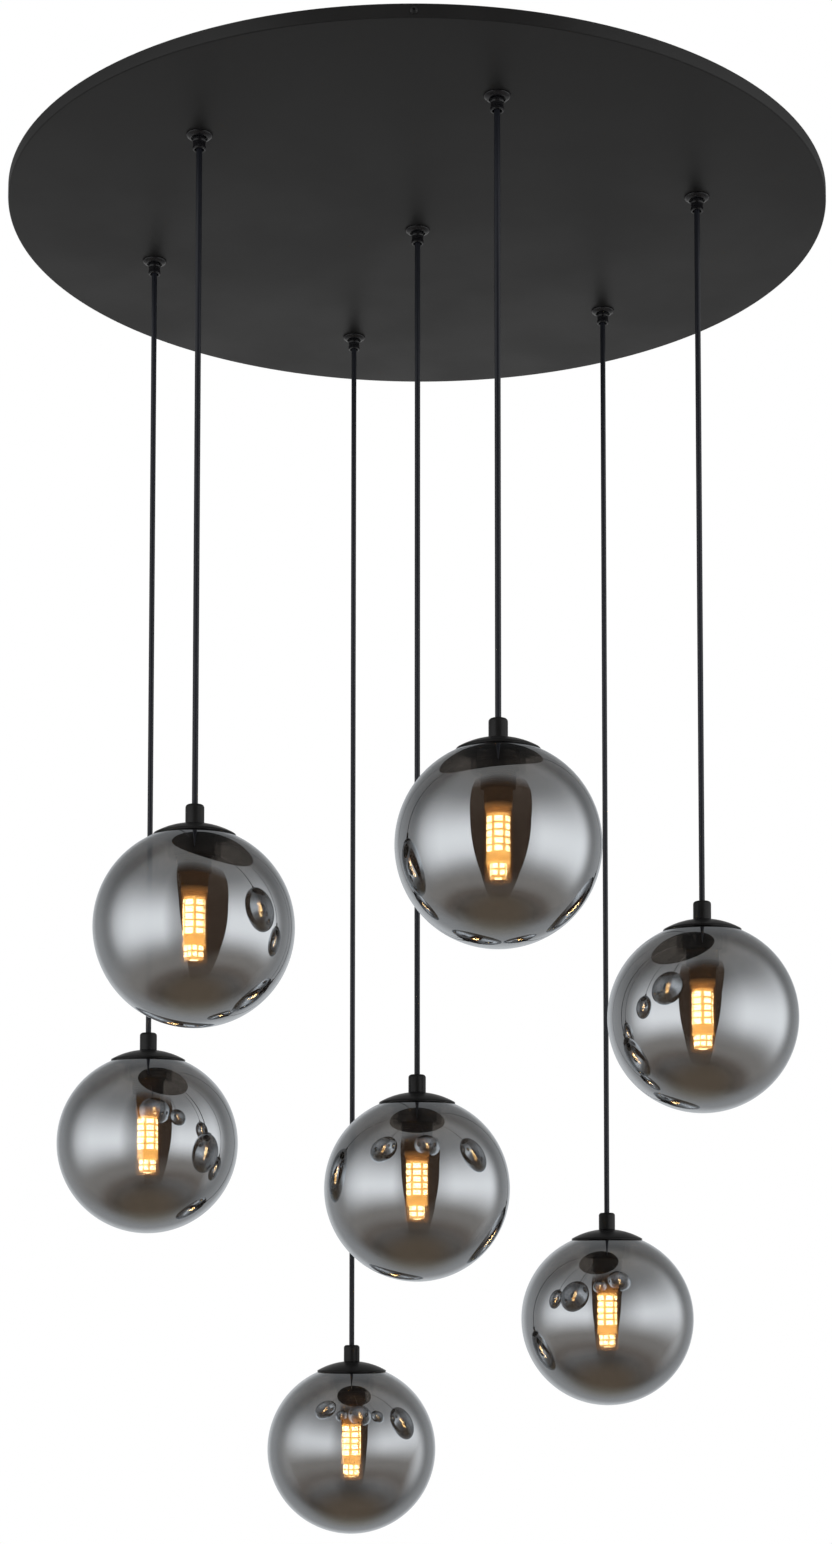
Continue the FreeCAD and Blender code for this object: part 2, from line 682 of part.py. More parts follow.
def lead(n, which):
    """A lead from a gland's bore, over its nut and along the floor, to a connector's port. The
    first connector's leads lie on the floor, and the second's in a layer above them."""
    place = PLACES[n]
    layer = FLOOR + LEAD_FLOOR_GAP + LEAD_RADIUS + which * (2 * LEAD_RADIUS + LEAD_LAYER_GAP)
    crest = STUB_TOP + LEAD_RADIUS + LEAD_TURN_REACH / 2
    heading, other = heading_to(place, n, which), heading_to(place, n, 1 - which)
    apart = (heading - other).normalize() * LEAD_PAIR_OFFSET

    def over(reach, height):
        return FreeCAD.Vector(place[0], place[1], height) + apart + heading * reach

    start = [
        over(0, PIVOT + SOCKET_RADIUS + LEAD_FLOOR_GAP),
        over(0, STUB_TOP - LEAD_FLOOR_GAP),
        over(LEAD_TURN_REACH, crest),
        over(LEAD_OVER_NUT_REACH, crest),
        over(LEAD_LANDING_REACH, layer),
    ]
    return tube(start + port_points(which, *port_for(n, which), layer), LEAD_RADIUS)


def leads(which):
    """All the leads to one connector."""
    return Part.makeCompound([lead(n, which) for n in range(len(PLACES))])


def earth_route():
    """Where the earth stud stands, and which way its lead comes to it."""
    spot = connector_point(EARTH, STUD_OUT, STUD_ASIDE, FLOOR + LEAD_RADIUS + TAG_BARREL_WALL)
    before = port_points(EARTH, EARTH_ROWS - 1, 1, spot.z)[0]
    return spot, (spot - before).normalize()


def earth_stud():
    """The stud on the pan, the ring tag with its crimped barrel, and the nut that holds it."""
    spot, heading = earth_route()
    place, tag_top = (spot.x, spot.y), FLOOR + TAG_THICKNESS
    foot = spot - heading * (TAG_RADIUS + TAG_BARREL_LENGTH)
    half = LEAD_RADIUS + TAG_BARREL_WALL
    barrel = Part.makeCylinder(half, TAG_BARREL_LENGTH, foot, heading)
    tongue = block((-TAG_RADIUS - TAG_BARREL_WALL, -half, FLOOR), (0, half, tag_top))
    tongue.rotate(FreeCAD.Vector(), UP, math.degrees(math.atan2(heading.y, heading.x)))
    tongue.translate(FreeCAD.Vector(spot.x, spot.y, 0))
    bore = Part.makeCylinder(LEAD_RADIUS + FIT, TAG_BARREL_LENGTH - TAG_BARREL_WALL, foot, heading)
    hole = upright_cut(place, STUD_RADIUS + FIT)
    tag = upright(place, TAG_RADIUS, FLOOR, tag_top).fuse([tongue, barrel]).cut([bore, hole])
    nut = hexagon(place, STUD_NUT_ACROSS_FLATS, tag_top, tag_top + STUD_NUT_HEIGHT).cut(hole)
    stud = upright(place, STUD_RADIUS, FLOOR, tag_top + STUD_NUT_HEIGHT + STUD_STICKOUT)
    return Part.makeCompound([stud, tag, nut])


def earth_lead():
    """The lead from the earth connector into the tag's barrel."""
    spot, heading = earth_route()
    before, mouth, bottom = port_points(EARTH, EARTH_ROWS - 1, 1, spot.z)
    return tube([bottom, mouth, before, spot - heading * (TAG_RADIUS + TAG_BARREL_WALL)], LEAD_RADIUS)


def wire_connectors():
    """The live, the neutral and the smaller earth connector."""
    both = connector(LIVE, SUPPLY_ROWS) + connector(NEUTRAL, SUPPLY_ROWS)
    return Part.makeCompound(both + connector(EARTH, EARTH_ROWS))


def build():
    """Every node's shape by its name."""
    made = {
        "canopy_disc": canopy_disc(),
        "ceiling_bracket": ceiling_bracket(),
        "rim_screws": rim_screws(),
        "gland_bodies": Part.makeCompound([gland_body(place) for place in PLACES]),
        "gland_necks": Part.makeCompound([gland_neck(place) for place in PLACES]),
        "gland_nuts": Part.makeCompound([gland_nut(place) for place in PLACES]),
        "live_leads": leads(LIVE),
        "neutral_leads": leads(NEUTRAL),
        "earth_lead": earth_lead(),
        "earth_stud": earth_stud(),
        "wire_connectors": wire_connectors(),
    }
    for n, (place, drop) in enumerate(zip(PLACES, DROPS), 1):
        globe = UNDERSIDE - drop
        made[f"gland_ball_{n}"] = gland_ball(place)
        made[f"cord_{n}"] = cord(place, globe)
        made[f"cord_grip_{n}"] = cord_grip(place, globe)
        made[f"cap_{n}"] = cap(place, globe)
        made[f"lampholder_{n}"] = lampholder(place, globe)
        made[f"bulb_{n}"] = bulb(place, globe)
        made[f"globe_{n}"] = globe_glass(place, globe)
    return made


os.makedirs("parts", exist_ok=True)
for name, shape in build().items():
    if not shape.isValid():
        print("invalid shape:", name)
    shape.exportStep(f"parts/{name}.step")
    print(name, len(shape.Solids), "solids", round(shape.Volume), "mm3")
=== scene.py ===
import math

import bmesh
import bpy
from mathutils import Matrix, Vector


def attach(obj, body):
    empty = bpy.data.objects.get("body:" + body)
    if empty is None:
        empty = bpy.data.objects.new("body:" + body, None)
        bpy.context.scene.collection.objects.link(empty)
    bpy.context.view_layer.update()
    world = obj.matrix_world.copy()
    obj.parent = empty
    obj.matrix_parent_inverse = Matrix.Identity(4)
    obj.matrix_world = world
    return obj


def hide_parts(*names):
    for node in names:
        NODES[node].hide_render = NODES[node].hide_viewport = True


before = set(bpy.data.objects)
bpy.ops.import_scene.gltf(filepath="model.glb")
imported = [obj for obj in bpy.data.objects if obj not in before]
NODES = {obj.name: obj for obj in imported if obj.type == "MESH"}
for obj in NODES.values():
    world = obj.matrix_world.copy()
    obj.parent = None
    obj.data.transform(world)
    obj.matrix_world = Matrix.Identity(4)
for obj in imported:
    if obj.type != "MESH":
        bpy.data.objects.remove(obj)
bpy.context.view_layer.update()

# Sizes are millimetres unless they say metres. Heights on a pendant are above its globe's middle, and
# other heights are above the ceiling's plane
MM = 0.001
CANOPY_RADIUS, CANOPY_DEPTH, CANOPY_WALL, CANOPY_EDGE = 330.0, 10.0, 1.5, 1.2
CANOPY_CHAMFER, CANOPY_CORNER = 0.3, 1.0
RING_RADIUS, RING_FIRST_ANGLE, RING_COUNT = 230.0, 45.0, 6
DROPS = [785.0, 890.0, 1005.0, 745.0, 600.0, 550.0, 655.0]
PIVOT = -13.0

# A cord, its play in the grip, and how many radii the inner points of its line are from the ends
CORD_RADIUS, CORD_PLAY, CORD_REACH = 2.25, 0.05, 12

# The glands' stubs and flanges: radii, rises above the canopy's underside and depths below it
GLAND_BORE, STUB_RADIUS, STUB_RISE, FLANGE_ROUND = 2.45, 4.95, 4.4, 0.5
FLANGE_RADIUS, FLANGE_EDGE, FLANGE_MOUTH_RADIUS, FLANGE_DEPTH = 10.0, 0.8, 6.2, 3.0
FLANGE_SHOULDER_RADIUS, FLANGE_SHOULDER_DEPTH = 9.2, 1.7
FLANGE_SLOPE_RADIUS, FLANGE_SLOPE_DEPTH = 7.8, 2.5
CONE_RADIUS, CONE_DEPTH, CONE_RISE = 6.05, 1.6, 0.8

# The glands' necks
NECK_TOP, NECK_TOP_BORE, NECK_RADIUS, NECK_ROUND = -11.5, 4.4, 5.0, 0.35
NECK_BAND_TOP, NECK_BAND_END, NECK_BAND_RADIUS, NECK_BAND_SLOPE = -13.5, -15.0, 5.2, 0.3
NECK_WAIST_TOP, NECK_WAIST_END, NECK_WAIST_RADIUS = -15.6, -18.8, 4.7
NECK_RING_TOP, NECK_RING_END = -19.1, -21.2
NECK_END, NECK_END_RADIUS, NECK_END_BORE = -21.7, 4.6, 3.65
NECK_THROAT, NECK_THROAT_BORE, NECK_BELL, NECK_BELL_BORE = -16.5, 3.05, -14.6, 4.3

# The globe and its collar
GLOBE_RADIUS, GLOBE_WALL, GLOBE_GAP = 74.0, 2.0, 0.3
COLLAR_BORE, COLLAR_OUTSIDE, COLLAR_LENGTH, MOUTH_ROUND = 16.0, 19.5, 20.0, 3.0
FILLET_WIDTH, FILLET_DEPTH = 1.6, 1.5
FILLET_MIDDLE_OUT, FILLET_MIDDLE_DOWN = 0.4, 0.6

# The cap, the cord grip, the lampholder and its ring nut. A ridge of a thread starts to rise, is up and
# starts to fall at these shares of the pitch
CAP_RADIUS, CAP_RISE, CAP_LIP, CAP_WALL = 30.4, 8.2, 1.2, 0.8
CAP_FOOT_SLOPE, CAP_FOOT_INSET, CAP_FOOT_CHAMFER = 0.35, 0.2, 0.25
CAP_SHOULDER, CAP_SHOULDER_RISE = 0.3, 0.1
GRIP_RADIUS, GRIP_HEIGHT, GRIP_ROUND, SPIGOT_RADIUS, SPIGOT_LENGTH = 7.0, 14.5, 2.5, 4.95, 7.5
GRIP_FOOT_CHAMFER, GRIP_MOUTH_CHAMFER = 0.2, 0.4
HOLDER_RADIUS, HOLDER_ROOT, HOLDER_PITCH, HOLDER_THREAD_END = 12.7, 12.1, 1.5, 40.4
HOLDER_NOSE_RADIUS, HOLDER_NOSE_END, HOLDER_FLOOR = 10.35, 30.5, 52.0
HOLDER_STEP, HOLDER_STEP_DROP, HOLDER_NOSE_DROP, HOLDER_NOSE_CHAMFER = 0.6, 0.4, 1.2, 0.5
NUT_BORE, NUT_CREST, NUT_ROOT, NUT_PITCH, NUT_RIDGES, NUT_ROUND = 12.75, 15.5, 15.0, 2.0, 4, 0.2
NUT_TOP, NUT_BAND_TOP, NUT_BAND_SLOPE, NUT_END, NUT_CHAMFER = 66.6, 57.4, 0.6, 53.7, 0.5
RIDGE_RISES, RIDGE_UP, RIDGE_FALLS = 0.2, 0.4, 0.8

# The bulb: base and pins, clear cover, six-sided core with its end plate, and the square stem below it.
# The turns are degrees. A diode's size is its thickness, its width and its height
LAMP_TURNS = [0.0, 10.0, 25.0, 22.0, 38.0, 0.0, 22.0]
BASE_RADIUS, BASE_TOP, BASE_ROUND, BASE_SPIGOT_RADIUS = 9.95, 30.2, 0.6, 9.15
PIN_SIZE, PIN_OUT, PIN_HEIGHT, PIN_ROUND = (1.0, 3.0, 9.0), 4.5, 34.7, 0.35
COVER_RADIUS, COVER_WALL, COVER_TOP, COVER_END = 10.0, 0.8, 26.0, -27.0
COVER_ROUND, COVER_INNER_ROUND = 2.5, 1.8
CORE_SIDES, CORE_RADIUS, CORE_TOP, CORE_END = 6, 8.6, 22.0, -11.6
PLATE_RADIUS, PLATE_END, PLATE_ROUND = 8.9, -13.0, 0.3
CORE_DIODE, CORE_ROWS, CORE_ROW_TOP, CORE_ROW_PITCH = (0.5, 5.8, 3.6), 5, 18.0, 5.3
CORE_DIODE_ROUND, STEM_DIODE_ROUND = 0.2, 0.12
STEM_SIDES, STEM_SIZE, STEM_HEIGHT, STEM_ROUND = 4, (10.4, 10.4, 11.0), -18.5, 0.4
STEM_DIODE, STEM_DIODE_OUT, STEM_COLUMNS = (0.5, 3.6, 3.2), 5.4, (-2.6, 2.6)
STEM_ROWS, STEM_ROW_TOP, STEM_ROW_PITCH = 2, -15.6, 4.8
END_DIODE, END_DIODE_HEIGHT = (5.0, 5.0, 0.5), -24.2

# A point nearer than this is on the axis, and a rounding takes at most this share of an edge
ON_AXIS, MOST_OF_EDGE = 1e-6, 0.45

# Faces round a turned shape
CANOPY_FACES, GLOBE_FACES, CAP_FACES, LAMP_FACES, SMALL_FACES, SKIRT_FACES = 256, 144, 96, 64, 48, 96

# How deep the grain of a surface is, the height where the connectors' levers start, the slope that the
# earth lead's stripe covers, and the shares of its height where the globe's glass turns paler
GRAIN_DEPTH, LEVERS_FROM, STRIPE_FROM = 0.1, -1.45, 0.45
PALE_FROM, PALE_TO = 0.68, 0.85

# The levels of the noise between which a blotch fades in, the size of the glass's clouds and the lit
# parts' spots, the least share of light colour in a lit part, and how dark its dark glow and paint are
BLOTCH_FROM, BLOTCH_TO, CLOUDS, LIT_SPOTS = 0.3, 0.7, 14.0, 900.0
LIT_LEAST, LIT_GLOW_DARK, LIT_BASE_DARK = 0.75, 0.8, 0.7

# From here on, metres. The camera, whose tilt is degrees
CAMERA_PLACE, CAMERA_TILT = (0.0154, -1.9236, -0.8792), 3.783
CAMERA_SENSOR, CAMERA_LENS, CAMERA_SHIFT = 36.0, 56.321, (-0.0132, 0.235)

# The floor, and how far from its middle it turns white
FLOOR_HEIGHT, FLOOR_HALF, FLOOR_CELLS = -2.4, 12.0, 8
FLOOR_NEAR, FLOOR_FAR, FLOOR_LEAST = 3.0, 11.0, 0.45

# The strength of what mirrors show, and of the light that reaches the other surfaces
STUDIO_GLOW, AMBIENT = 1.5, 0.75

# The gap between the soft boxes: how far in front it stands, and its height, left and right
GAP_FRONT = -0.8
GAP_FOOT = (-2.3, -0.2, 0.3)
GAP_LOW = (-1.05, -0.2, 0.34)
GAP_MIDDLE = (-0.35, -0.29, 0.44)
GAP_HIGH = (0.3, -0.42, 0.62)
GAP_TOP = (1.1, -0.54, 0.76)
GAP_DARK, GAP_LIGHT, GAP_END = (0.028, 0.0165, 0.01), (0.034, 0.02, 0.012), (0.08, 0.058, 0.038)

# The dark surround below the soft boxes, the shares of its height where it fades, and how far back
SKIRT_RADIUS, SKIRT_FOOT, SKIRT_TOP = 0.9, -2.3, -0.72
SKIRT_LOW_FADE, SKIRT_HIGH_FADE, SKIRT_BACK, SKIRT_BACK_END = 0.5, 0.63, 0.15, 0.6
SKIRT_COLOURS = [
    (0.0, (0.07, 0.055, 0.04)),
    (0.35, (0.12, 0.1, 0.085)),
    (0.63, (0.22, 0.205, 0.19)),
    (1.0, (0.32, 0.31, 0.3)),
]

# How bright the mirrored soft boxes are. Round the object, 0.25 is its left, 0.5 the camera's side with
# the gap, and 0.75 its right
ROUND_LEVELS = [
    (0.15, 0.2),
    (0.215, 0.4),
    (0.26, 0.85),
    (0.31, 1.0),
    (0.37, 1.2),
    (0.41, 1.15),
    (0.45, 0.55),
    (0.5, 0.35),
    (0.55, 0.55),
    (0.6, 0.85),
    (0.65, 1.08),
    (0.72, 1.12),
    (0.79, 1.05),
    (0.85, 0.35),
    (0.93, 0.2),
]

# Upwards, 0 is straight down, 0.5 level and 1 straight up
RISE_LEVELS = [
    (0.16, 0.09),
    (0.22, 0.12),
    (0.28, 0.22),
    (0.342, 0.5),
    (0.4, 0.82),
    (0.47, 1.0),
    (0.54, 0.97),
    (0.61, 0.7),
    (0.68, 0.4),
    (0.744, 0.22),
    (0.82, 0.18),
]
POLE_SHARES = [(0.06, 0.0), (0.27, 1.0), (0.8, 1.0), (0.94, 0.0)]
POLE_COLOURS = [(0.1, (0.1, 0.075, 0.052)), (0.9, (0.15, 0.145, 0.138))]

# The backdrop starts further back on the right. Its stops are places from 0, beside, to 1, behind, and
# the tints are places upwards
BACKDROP_LEAN = 0.2
BACKDROP_SHARES = [(0.08, 0.0), (0.5, 1.0)]
BACKDROP_LEVELS = [(0.3, 0.2), (0.75, 0.27), (0.95, 0.44)]
BACKDROP_TINTS = [(0.08, (0.8, 0.71, 0.56)), (0.28, 1.0), (0.5, 1.0), (0.75, 0.5)]

# Sockets of the node that mixes colours
MIX_FACTOR, MIX_FIRST, MIX_SECOND, MIX_RESULT = 0, 6, 7, 2

# Heights that follow from the globe, in millimetres
CAP_FOOT = math.sqrt((GLOBE_RADIUS + GLOBE_GAP) ** 2 - CAP_RADIUS**2)
CAP_BASE = CAP_FOOT + CAP_LIP
DOME_RADIUS = (CAP_RADIUS**2 + CAP_RISE**2) / (2 * CAP_RISE)
DOME_MIDDLE = CAP_BASE + CAP_RISE - DOME_RADIUS
CAP_TOP = DOME_MIDDLE + math.sqrt(DOME_RADIUS**2 - GRIP_RADIUS**2)
CAP_INNER_TOP = DOME_MIDDLE + math.sqrt((DOME_RADIUS - CAP_WALL) ** 2 - HOLDER_RADIUS**2)


def ring_place(n):
    angle = math.radians(RING_FIRST_ANGLE + 360.0 * n / RING_COUNT)
    return RING_RADIUS * math.cos(angle), RING_RADIUS * math.sin(angle)


PLACES = [(0.0, 0.0)] + [ring_place(n) for n in range(RING_COUNT)]
PENDANTS = [(n, place, -CANOPY_DEPTH - drop) for n, (place, drop) in enumerate(zip(PLACES, DROPS), 1)]


# Node trees

def put(tree, kind, inputs=None, **settings):
    """Adds a shader node. An input is a plain value or another node's output."""
    node = tree.nodes.new("ShaderNode" + kind)
    for key, value in settings.items():
        setattr(node, key, value)
    for key, value in (inputs or {}).items():
        socket = node.inputs[key]
        if isinstance(value, bpy.types.NodeSocket):
            tree.links.new(value, socket)
        elif hasattr(socket.default_value, "__len__") and len(value) < len(socket.default_value):
            socket.default_value = (*value, 1.0)
        else:
            socket.default_value = value
    return node


def grey(level):
    return (level, level, level)


def math_node(tree, operation, *values, clamp=False):
    node = put(tree, "Math", dict(enumerate(values)), operation=operation)
    node.use_clamp = clamp
    return node.outputs[0]


def spread(tree, value, low, high):
    """Turns 0 to 1 into low to high."""
    return put(tree, "MapRange", {"Value": value, "To Min": low, "To Max": high}).outputs[0]


def share(tree, value, start, end):
    """How far a value has come from start to end, from 0 to 1."""
    return put(tree, "MapRange", {"Value": value, "From Min": start, "From Max": end}).outputs[0]


def ramp(tree, factor, stops, interpolation="EASE"):
    """A colour ramp. A stop is its place and a grey or a colour."""
    node = put(tree, "ValToRGB", {"Fac": factor})
    node.color_ramp.interpolation = interpolation
    elements = node.color_ramp.elements
    while len(elements) < len(stops):
        elements.new(0.5)
    for element, (place, colour) in zip(elements, stops):
        element.position = place
        element.color = (*(colour if isinstance(colour, tuple) else grey(colour)), 1.0)
    return node.outputs["Color"]


def new_material(name):
    mat = bpy.data.materials.new(name)
    mat.use_nodes = True
    mat.node_tree.nodes.clear()
    return mat, mat.node_tree


def finish_material(mat, tree, shader):
    put(tree, "OutputMaterial", {"Surface": shader})
    return mat


def where(tree, kind="Object"):
    return put(tree, "TexCoord").outputs[kind]


def parts_of(tree, vector):
    return put(tree, "SeparateXYZ", {0: vector}).outputs


def noise(tree, scale, detail=3.0, stretch=None):
    vector = where(tree)
    if stretch:
        vector = put(tree, "Mapping", {"Vector": vector, "Scale": stretch}).outputs["Vector"]
    inputs = {"Vector": vector, "Scale": scale, "Detail": detail}
    return put(tree, "TexNoise", inputs).outputs["Fac"]


def blotches(tree, scale, detail=3.0, stretch=None, least=0.0):
    """Soft blotches between least and 1."""
    return ramp(tree, noise(tree, scale, detail, stretch), [(BLOTCH_FROM, least), (BLOTCH_TO, 1.0)])


def mixed(tree, factor, first, second, blend="MIX"):
    """A mix of two colours."""
    inputs = {MIX_FACTOR: factor, MIX_FIRST: first, MIX_SECOND: second}
    return put(tree, "Mix", inputs, data_type="RGBA", blend_type=blend).outputs[MIX_RESULT]


def blended(tree, factor, first, second):
    """A mix of two shaders."""
    return put(tree, "MixShader", {0: factor, 1: first, 2: second}).outputs[0]


def bumped(tree, height, strength):
    inputs = {"Height": height, "Strength": strength, "Distance": GRAIN_DEPTH * MM}
    return put(tree, "Bump", inputs).outputs[0]


def solid(tree, inputs):
    return put(tree, "BsdfPrincipled", inputs).outputs[0]


def emission(tree, colour, strength):
    return put(tree, "Emission", {"Color": colour, "Strength": strength}).outputs[0]


def coated(name, dark, light, rough, grain, bump, blotch, metallic=0.0, stretch=None, shine=0.5):
    """A surface with blotches between two colours, uneven roughness and a fine grain."""
    mat, tree = new_material(name)
    spots = blotches(tree, blotch, 4.0, stretch)
    inputs = {
        "Base Color": mixed(tree, spots, dark, light),
        "Roughness": spread(tree, spots, *rough),
        "Normal": bumped(tree, noise(tree, grain, 2.0, stretch), bump),
        "Metallic": metallic,
        "Specular IOR Level": shine,
    }
    return finish_material(mat, tree, solid(tree, inputs))


def lit(name, colour, strength, base, rough=0.5, fade=1.0):
    """A surface that glows, a little unevenly, and fades towards its top. On the diodes this is the
    lamp's light; on other parts it is painted light from the diodes, and the fade is painted falloff.
    """
    mat, tree = new_material(name)
    spots = blotches(tree, LIT_SPOTS, least=LIT_LEAST)
    height = parts_of(tree, where(tree, "Generated"))["Z"]
    # Painted light except on the diodes: the glow stands in for the diodes' light falling on the part
    inputs = {
        "Base Color": mixed(tree, spots, tuple(LIT_BASE_DARK * c for c in base), base),
        "Roughness": rough,
        "Emission Color": mixed(tree, spots, tuple(LIT_GLOW_DARK * c for c in colour), colour),
        "Emission Strength": spread(tree, height, strength, strength * fade),
    }
    return finish_material(mat, tree, solid(tree, inputs))


def see_through(name, tint, mirror, facing, edge, rough, glow=None, high=None):
    """Thin glass: it lets a tinted part of the light straight through and mirrors the rest, which
    rises towards the edge. The tint may turn to another one towards the top."""
    mat, tree = new_material(name)
    if high:
        height = parts_of(tree, where(tree, "Generated"))["Z"]
        tint = mixed(tree, ramp(tree, height, [(PALE_FROM, 0.0), (PALE_TO, 1.0)]), tint, high)
    facing_out = put(tree, "LayerWeight", {"Blend": 0.5}).outputs["Facing"]
    rise = math_node(tree, "POWER", facing_out, edge)
    mirroring = math_node(tree, "MULTIPLY_ADD", rise, 1.0 - facing, facing, clamp=True)
    smear = spread(tree, blotches(tree, CLOUDS), *rough)
    pass_on = put(tree, "BsdfTransparent", {"Color": tint}).outputs[0]
    shine = put(tree, "BsdfGlossy", {"Color": mirror, "Roughness": smear}).outputs[0]
    shader = blended(tree, mirroring, pass_on, shine)
    # Painted light: the glow makes the glass itself give off the bulb's warm light
    if glow:
        shader = put(tree, "AddShader", {0: shader, 1: emission(tree, *glow)}).outputs[0]
    return finish_material(mat, tree, shader)


def levers_and_body():
    """Grey plastic with orange levers, told apart by their height."""
    mat, tree = new_material("connector")
    lever = math_node(tree, "GREATER_THAN", parts_of(tree, where(tree))["Z"], LEVERS_FROM * MM)
    mottle = noise(tree, 300.0)
    body = mixed(tree, mottle, (0.55, 0.56, 0.56), (0.68, 0.69, 0.68))
    orange = mixed(tree, mottle, (0.75, 0.2, 0.03), (0.85, 0.27, 0.05))
    inputs = {
        "Base Color": mixed(tree, lever, body, orange),
        "Roughness": 0.32,
        "Normal": bumped(tree, noise(tree, 1500.0), 0.2),
    }
    return finish_material(mat, tree, solid(tree, inputs))


def earth_stripes():
    """Green insulation with a yellow stripe on its upper side."""
    mat, tree = new_material("earth_insulation")
    up = parts_of(tree, put(tree, "NewGeometry").outputs["Normal"])["Z"]
    stripe = math_node(tree, "GREATER_THAN", up, STRIPE_FROM)
    mottle = noise(tree, 400.0)
    green = mixed(tree, mottle, (0.04, 0.25, 0.04), (0.06, 0.33, 0.06))
    yellow = mixed(tree, mottle, (0.75, 0.6, 0.05), (0.85, 0.68, 0.08))
    inputs = {"Base Color": mixed(tree, stripe, green, yellow), "Roughness": 0.45}
    return finish_material(mat, tree, solid(tree, inputs))


POWDER_COAT = coated(
    "powder_coat", dark=grey(0.007), light=grey(0.01),
    rough=(0.45, 0.52), grain=1400.0, bump=0.1, blotch=9.0, shine=0.22,
)
INSIDE_COAT = coated(
    "inside_coat", dark=(0.03, 0.03, 0.031), light=(0.045, 0.045, 0.046),
    rough=(0.5, 0.62), grain=900.0, bump=0.2, blotch=12.0,
)
SATIN_BLACK = coated(
    "satin_black", dark=grey(0.006), light=grey(0.01),
    rough=(0.3, 0.38), grain=2200.0, bump=0.06, blotch=60.0, shine=0.2,
)
GLOSS_BLACK = coated(
    "gloss_black", dark=(0.006, 0.006, 0.007), light=(0.011, 0.011, 0.012),
    rough=(0.14, 0.2), grain=900.0, bump=0.08, blotch=150.0, shine=0.35,
)
SHEATH = coated(
    "cord_sheath", dark=(0.006, 0.007, 0.01), light=(0.01, 0.011, 0.015),
    rough=(0.36, 0.42), grain=900.0, bump=0.03, blotch=30.0, stretch=(1, 1, 0.15), shine=0.3,
)
RUBBER = coated(
    "rubber", dark=grey(0.015), light=grey(0.025),
    rough=(0.6, 0.75), grain=1500.0, bump=0.3, blotch=200.0,
)
ZINC = coated(
    "zinc_plate", dark=(0.42, 0.43, 0.45), light=(0.62, 0.63, 0.64),
    rough=(0.26, 0.42), grain=500.0, bump=0.15, blotch=45.0, metallic=1.0,
)
BRASS = coated(
    "brass_plate", dark=(0.5, 0.36, 0.14), light=(0.66, 0.5, 0.22),
    rough=(0.25, 0.38), grain=1500.0, bump=0.15, blotch=200.0, metallic=1.0,
)
BROWN = coated(
    "live_insulation", dark=(0.1, 0.04, 0.02), light=(0.14, 0.06, 0.03),
    rough=(0.35, 0.5), grain=900.0, bump=0.2, blotch=120.0,
)
BLUE = coated(
    "neutral_insulation", dark=(0.02, 0.07, 0.28), light=(0.03, 0.1, 0.38),
    rough=(0.35, 0.5), grain=900.0, bump=0.2, blotch=120.0,
)
HOLDER_BROWN = coated(
    "holder_moulding", dark=(0.12, 0.1, 0.085), light=(0.16, 0.135, 0.115),
    rough=(0.35, 0.5), grain=900.0, bump=0.2, blotch=120.0,
)
CERAMIC = coated(
    "holder_ceramic", dark=(0.3, 0.2, 0.12), light=(0.4, 0.28, 0.17),
    rough=(0.4, 0.55), grain=900.0, bump=0.25, blotch=120.0,
)
PIN_METAL = coated(
    "pin_metal", dark=grey(0.5), light=grey(0.65),
    rough=(0.2, 0.3), grain=1500.0, bump=0.1, blotch=200.0, metallic=1.0,
)
WARM = (1.0, 0.45, 0.12)
DIODE = lit("diode", (1.0, 0.86, 0.55), strength=26.0, base=(0.9, 0.75, 0.4))
# The core's board glows with painted light: the diodes' light on it, not a lamp of its own
CORE_BOARD_PAINTED_GLOW = lit("core_board_painted_glow", (1.0, 0.6, 0.17), strength=6.6, base=(0.7, 0.5, 0.25))
# The bulb's base glows with painted light from the diodes, strongest at its foot and fading to little at its
# top
LAMP_BASE_PAINTED_GLOW = lit("lamp_base_painted_glow", WARM, strength=2.6, base=(0.35, 0.25, 0.16), rough=0.35, fade=0.03)
# The clear cover mirrors and passes light, and its faint warm glow is painted light from the diodes inside
COVER_PAINTED_GLOW = see_through(
    "clear_cover_painted_glow", tint=(0.98, 0.95, 0.9), mirror=(1.0, 0.9, 0.75),
    facing=0.06, edge=2.2, rough=(0.02, 0.06), glow=(WARM, 0.14),
)
GLASS_OUTSIDE = see_through(
    "smoked_outside", tint=(0.3, 0.28, 0.262), mirror=(0.84, 0.88, 0.92),
    facing=0.5, edge=3.5, rough=(0.0, 0.004), high=(0.62, 0.59, 0.56),
)
GLASS_INSIDE = see_through(
    "smoked_inside", tint=(0.8, 0.79, 0.78), mirror=(0.8, 0.78, 0.76),
    facing=0.1, edge=3.0, rough=(0.0, 0.004),
)


# Shapes

def arc(centre, start, end, steps):
    """Points after start on the short arc to end, as radius and height."""
    first = math.atan2(start[1] - centre[1], start[0] - centre[0])
    last = math.atan2(end[1] - centre[1], end[0] - centre[0])
    turn = (last - first + math.pi) % (2 * math.pi) - math.pi
    size = math.dist(centre, start)
    angles = [first + turn * n / steps for n in range(1, steps + 1)]
    return [(centre[0] + size * math.cos(a), centre[1] + size * math.sin(a)) for a in angles]


def softened(outline, radius, steps=3):
    """The closed outline with its corners off the axis rounded."""
    made = []
    for n, corner in enumerate(outline):
        before, after = outline[n - 1], outline[(n + 1) % len(outline)]
        if corner[0] < ON_AXIS:
            made.append(corner)
            continue
        c, b, a = Vector(corner), Vector(before), Vector(after)
        back, on = b - c, a - c
        reach = min(radius, MOST_OF_EDGE * back.length, MOST_OF_EDGE * on.length)
        start, end = c + back.normalized() * reach, c + on.normalized() * reach
        for k in range(steps + 1):
            t = k / steps
            made.append(tuple(start * (1 - t) ** 2 + c * 2 * t * (1 - t) + end * t**2))
    return made


def disc(radius, top, end):
    """The outline of a disc or a short rod."""
    return [(0.0, top), (radius, top), (radius, end), (0.0, end)]


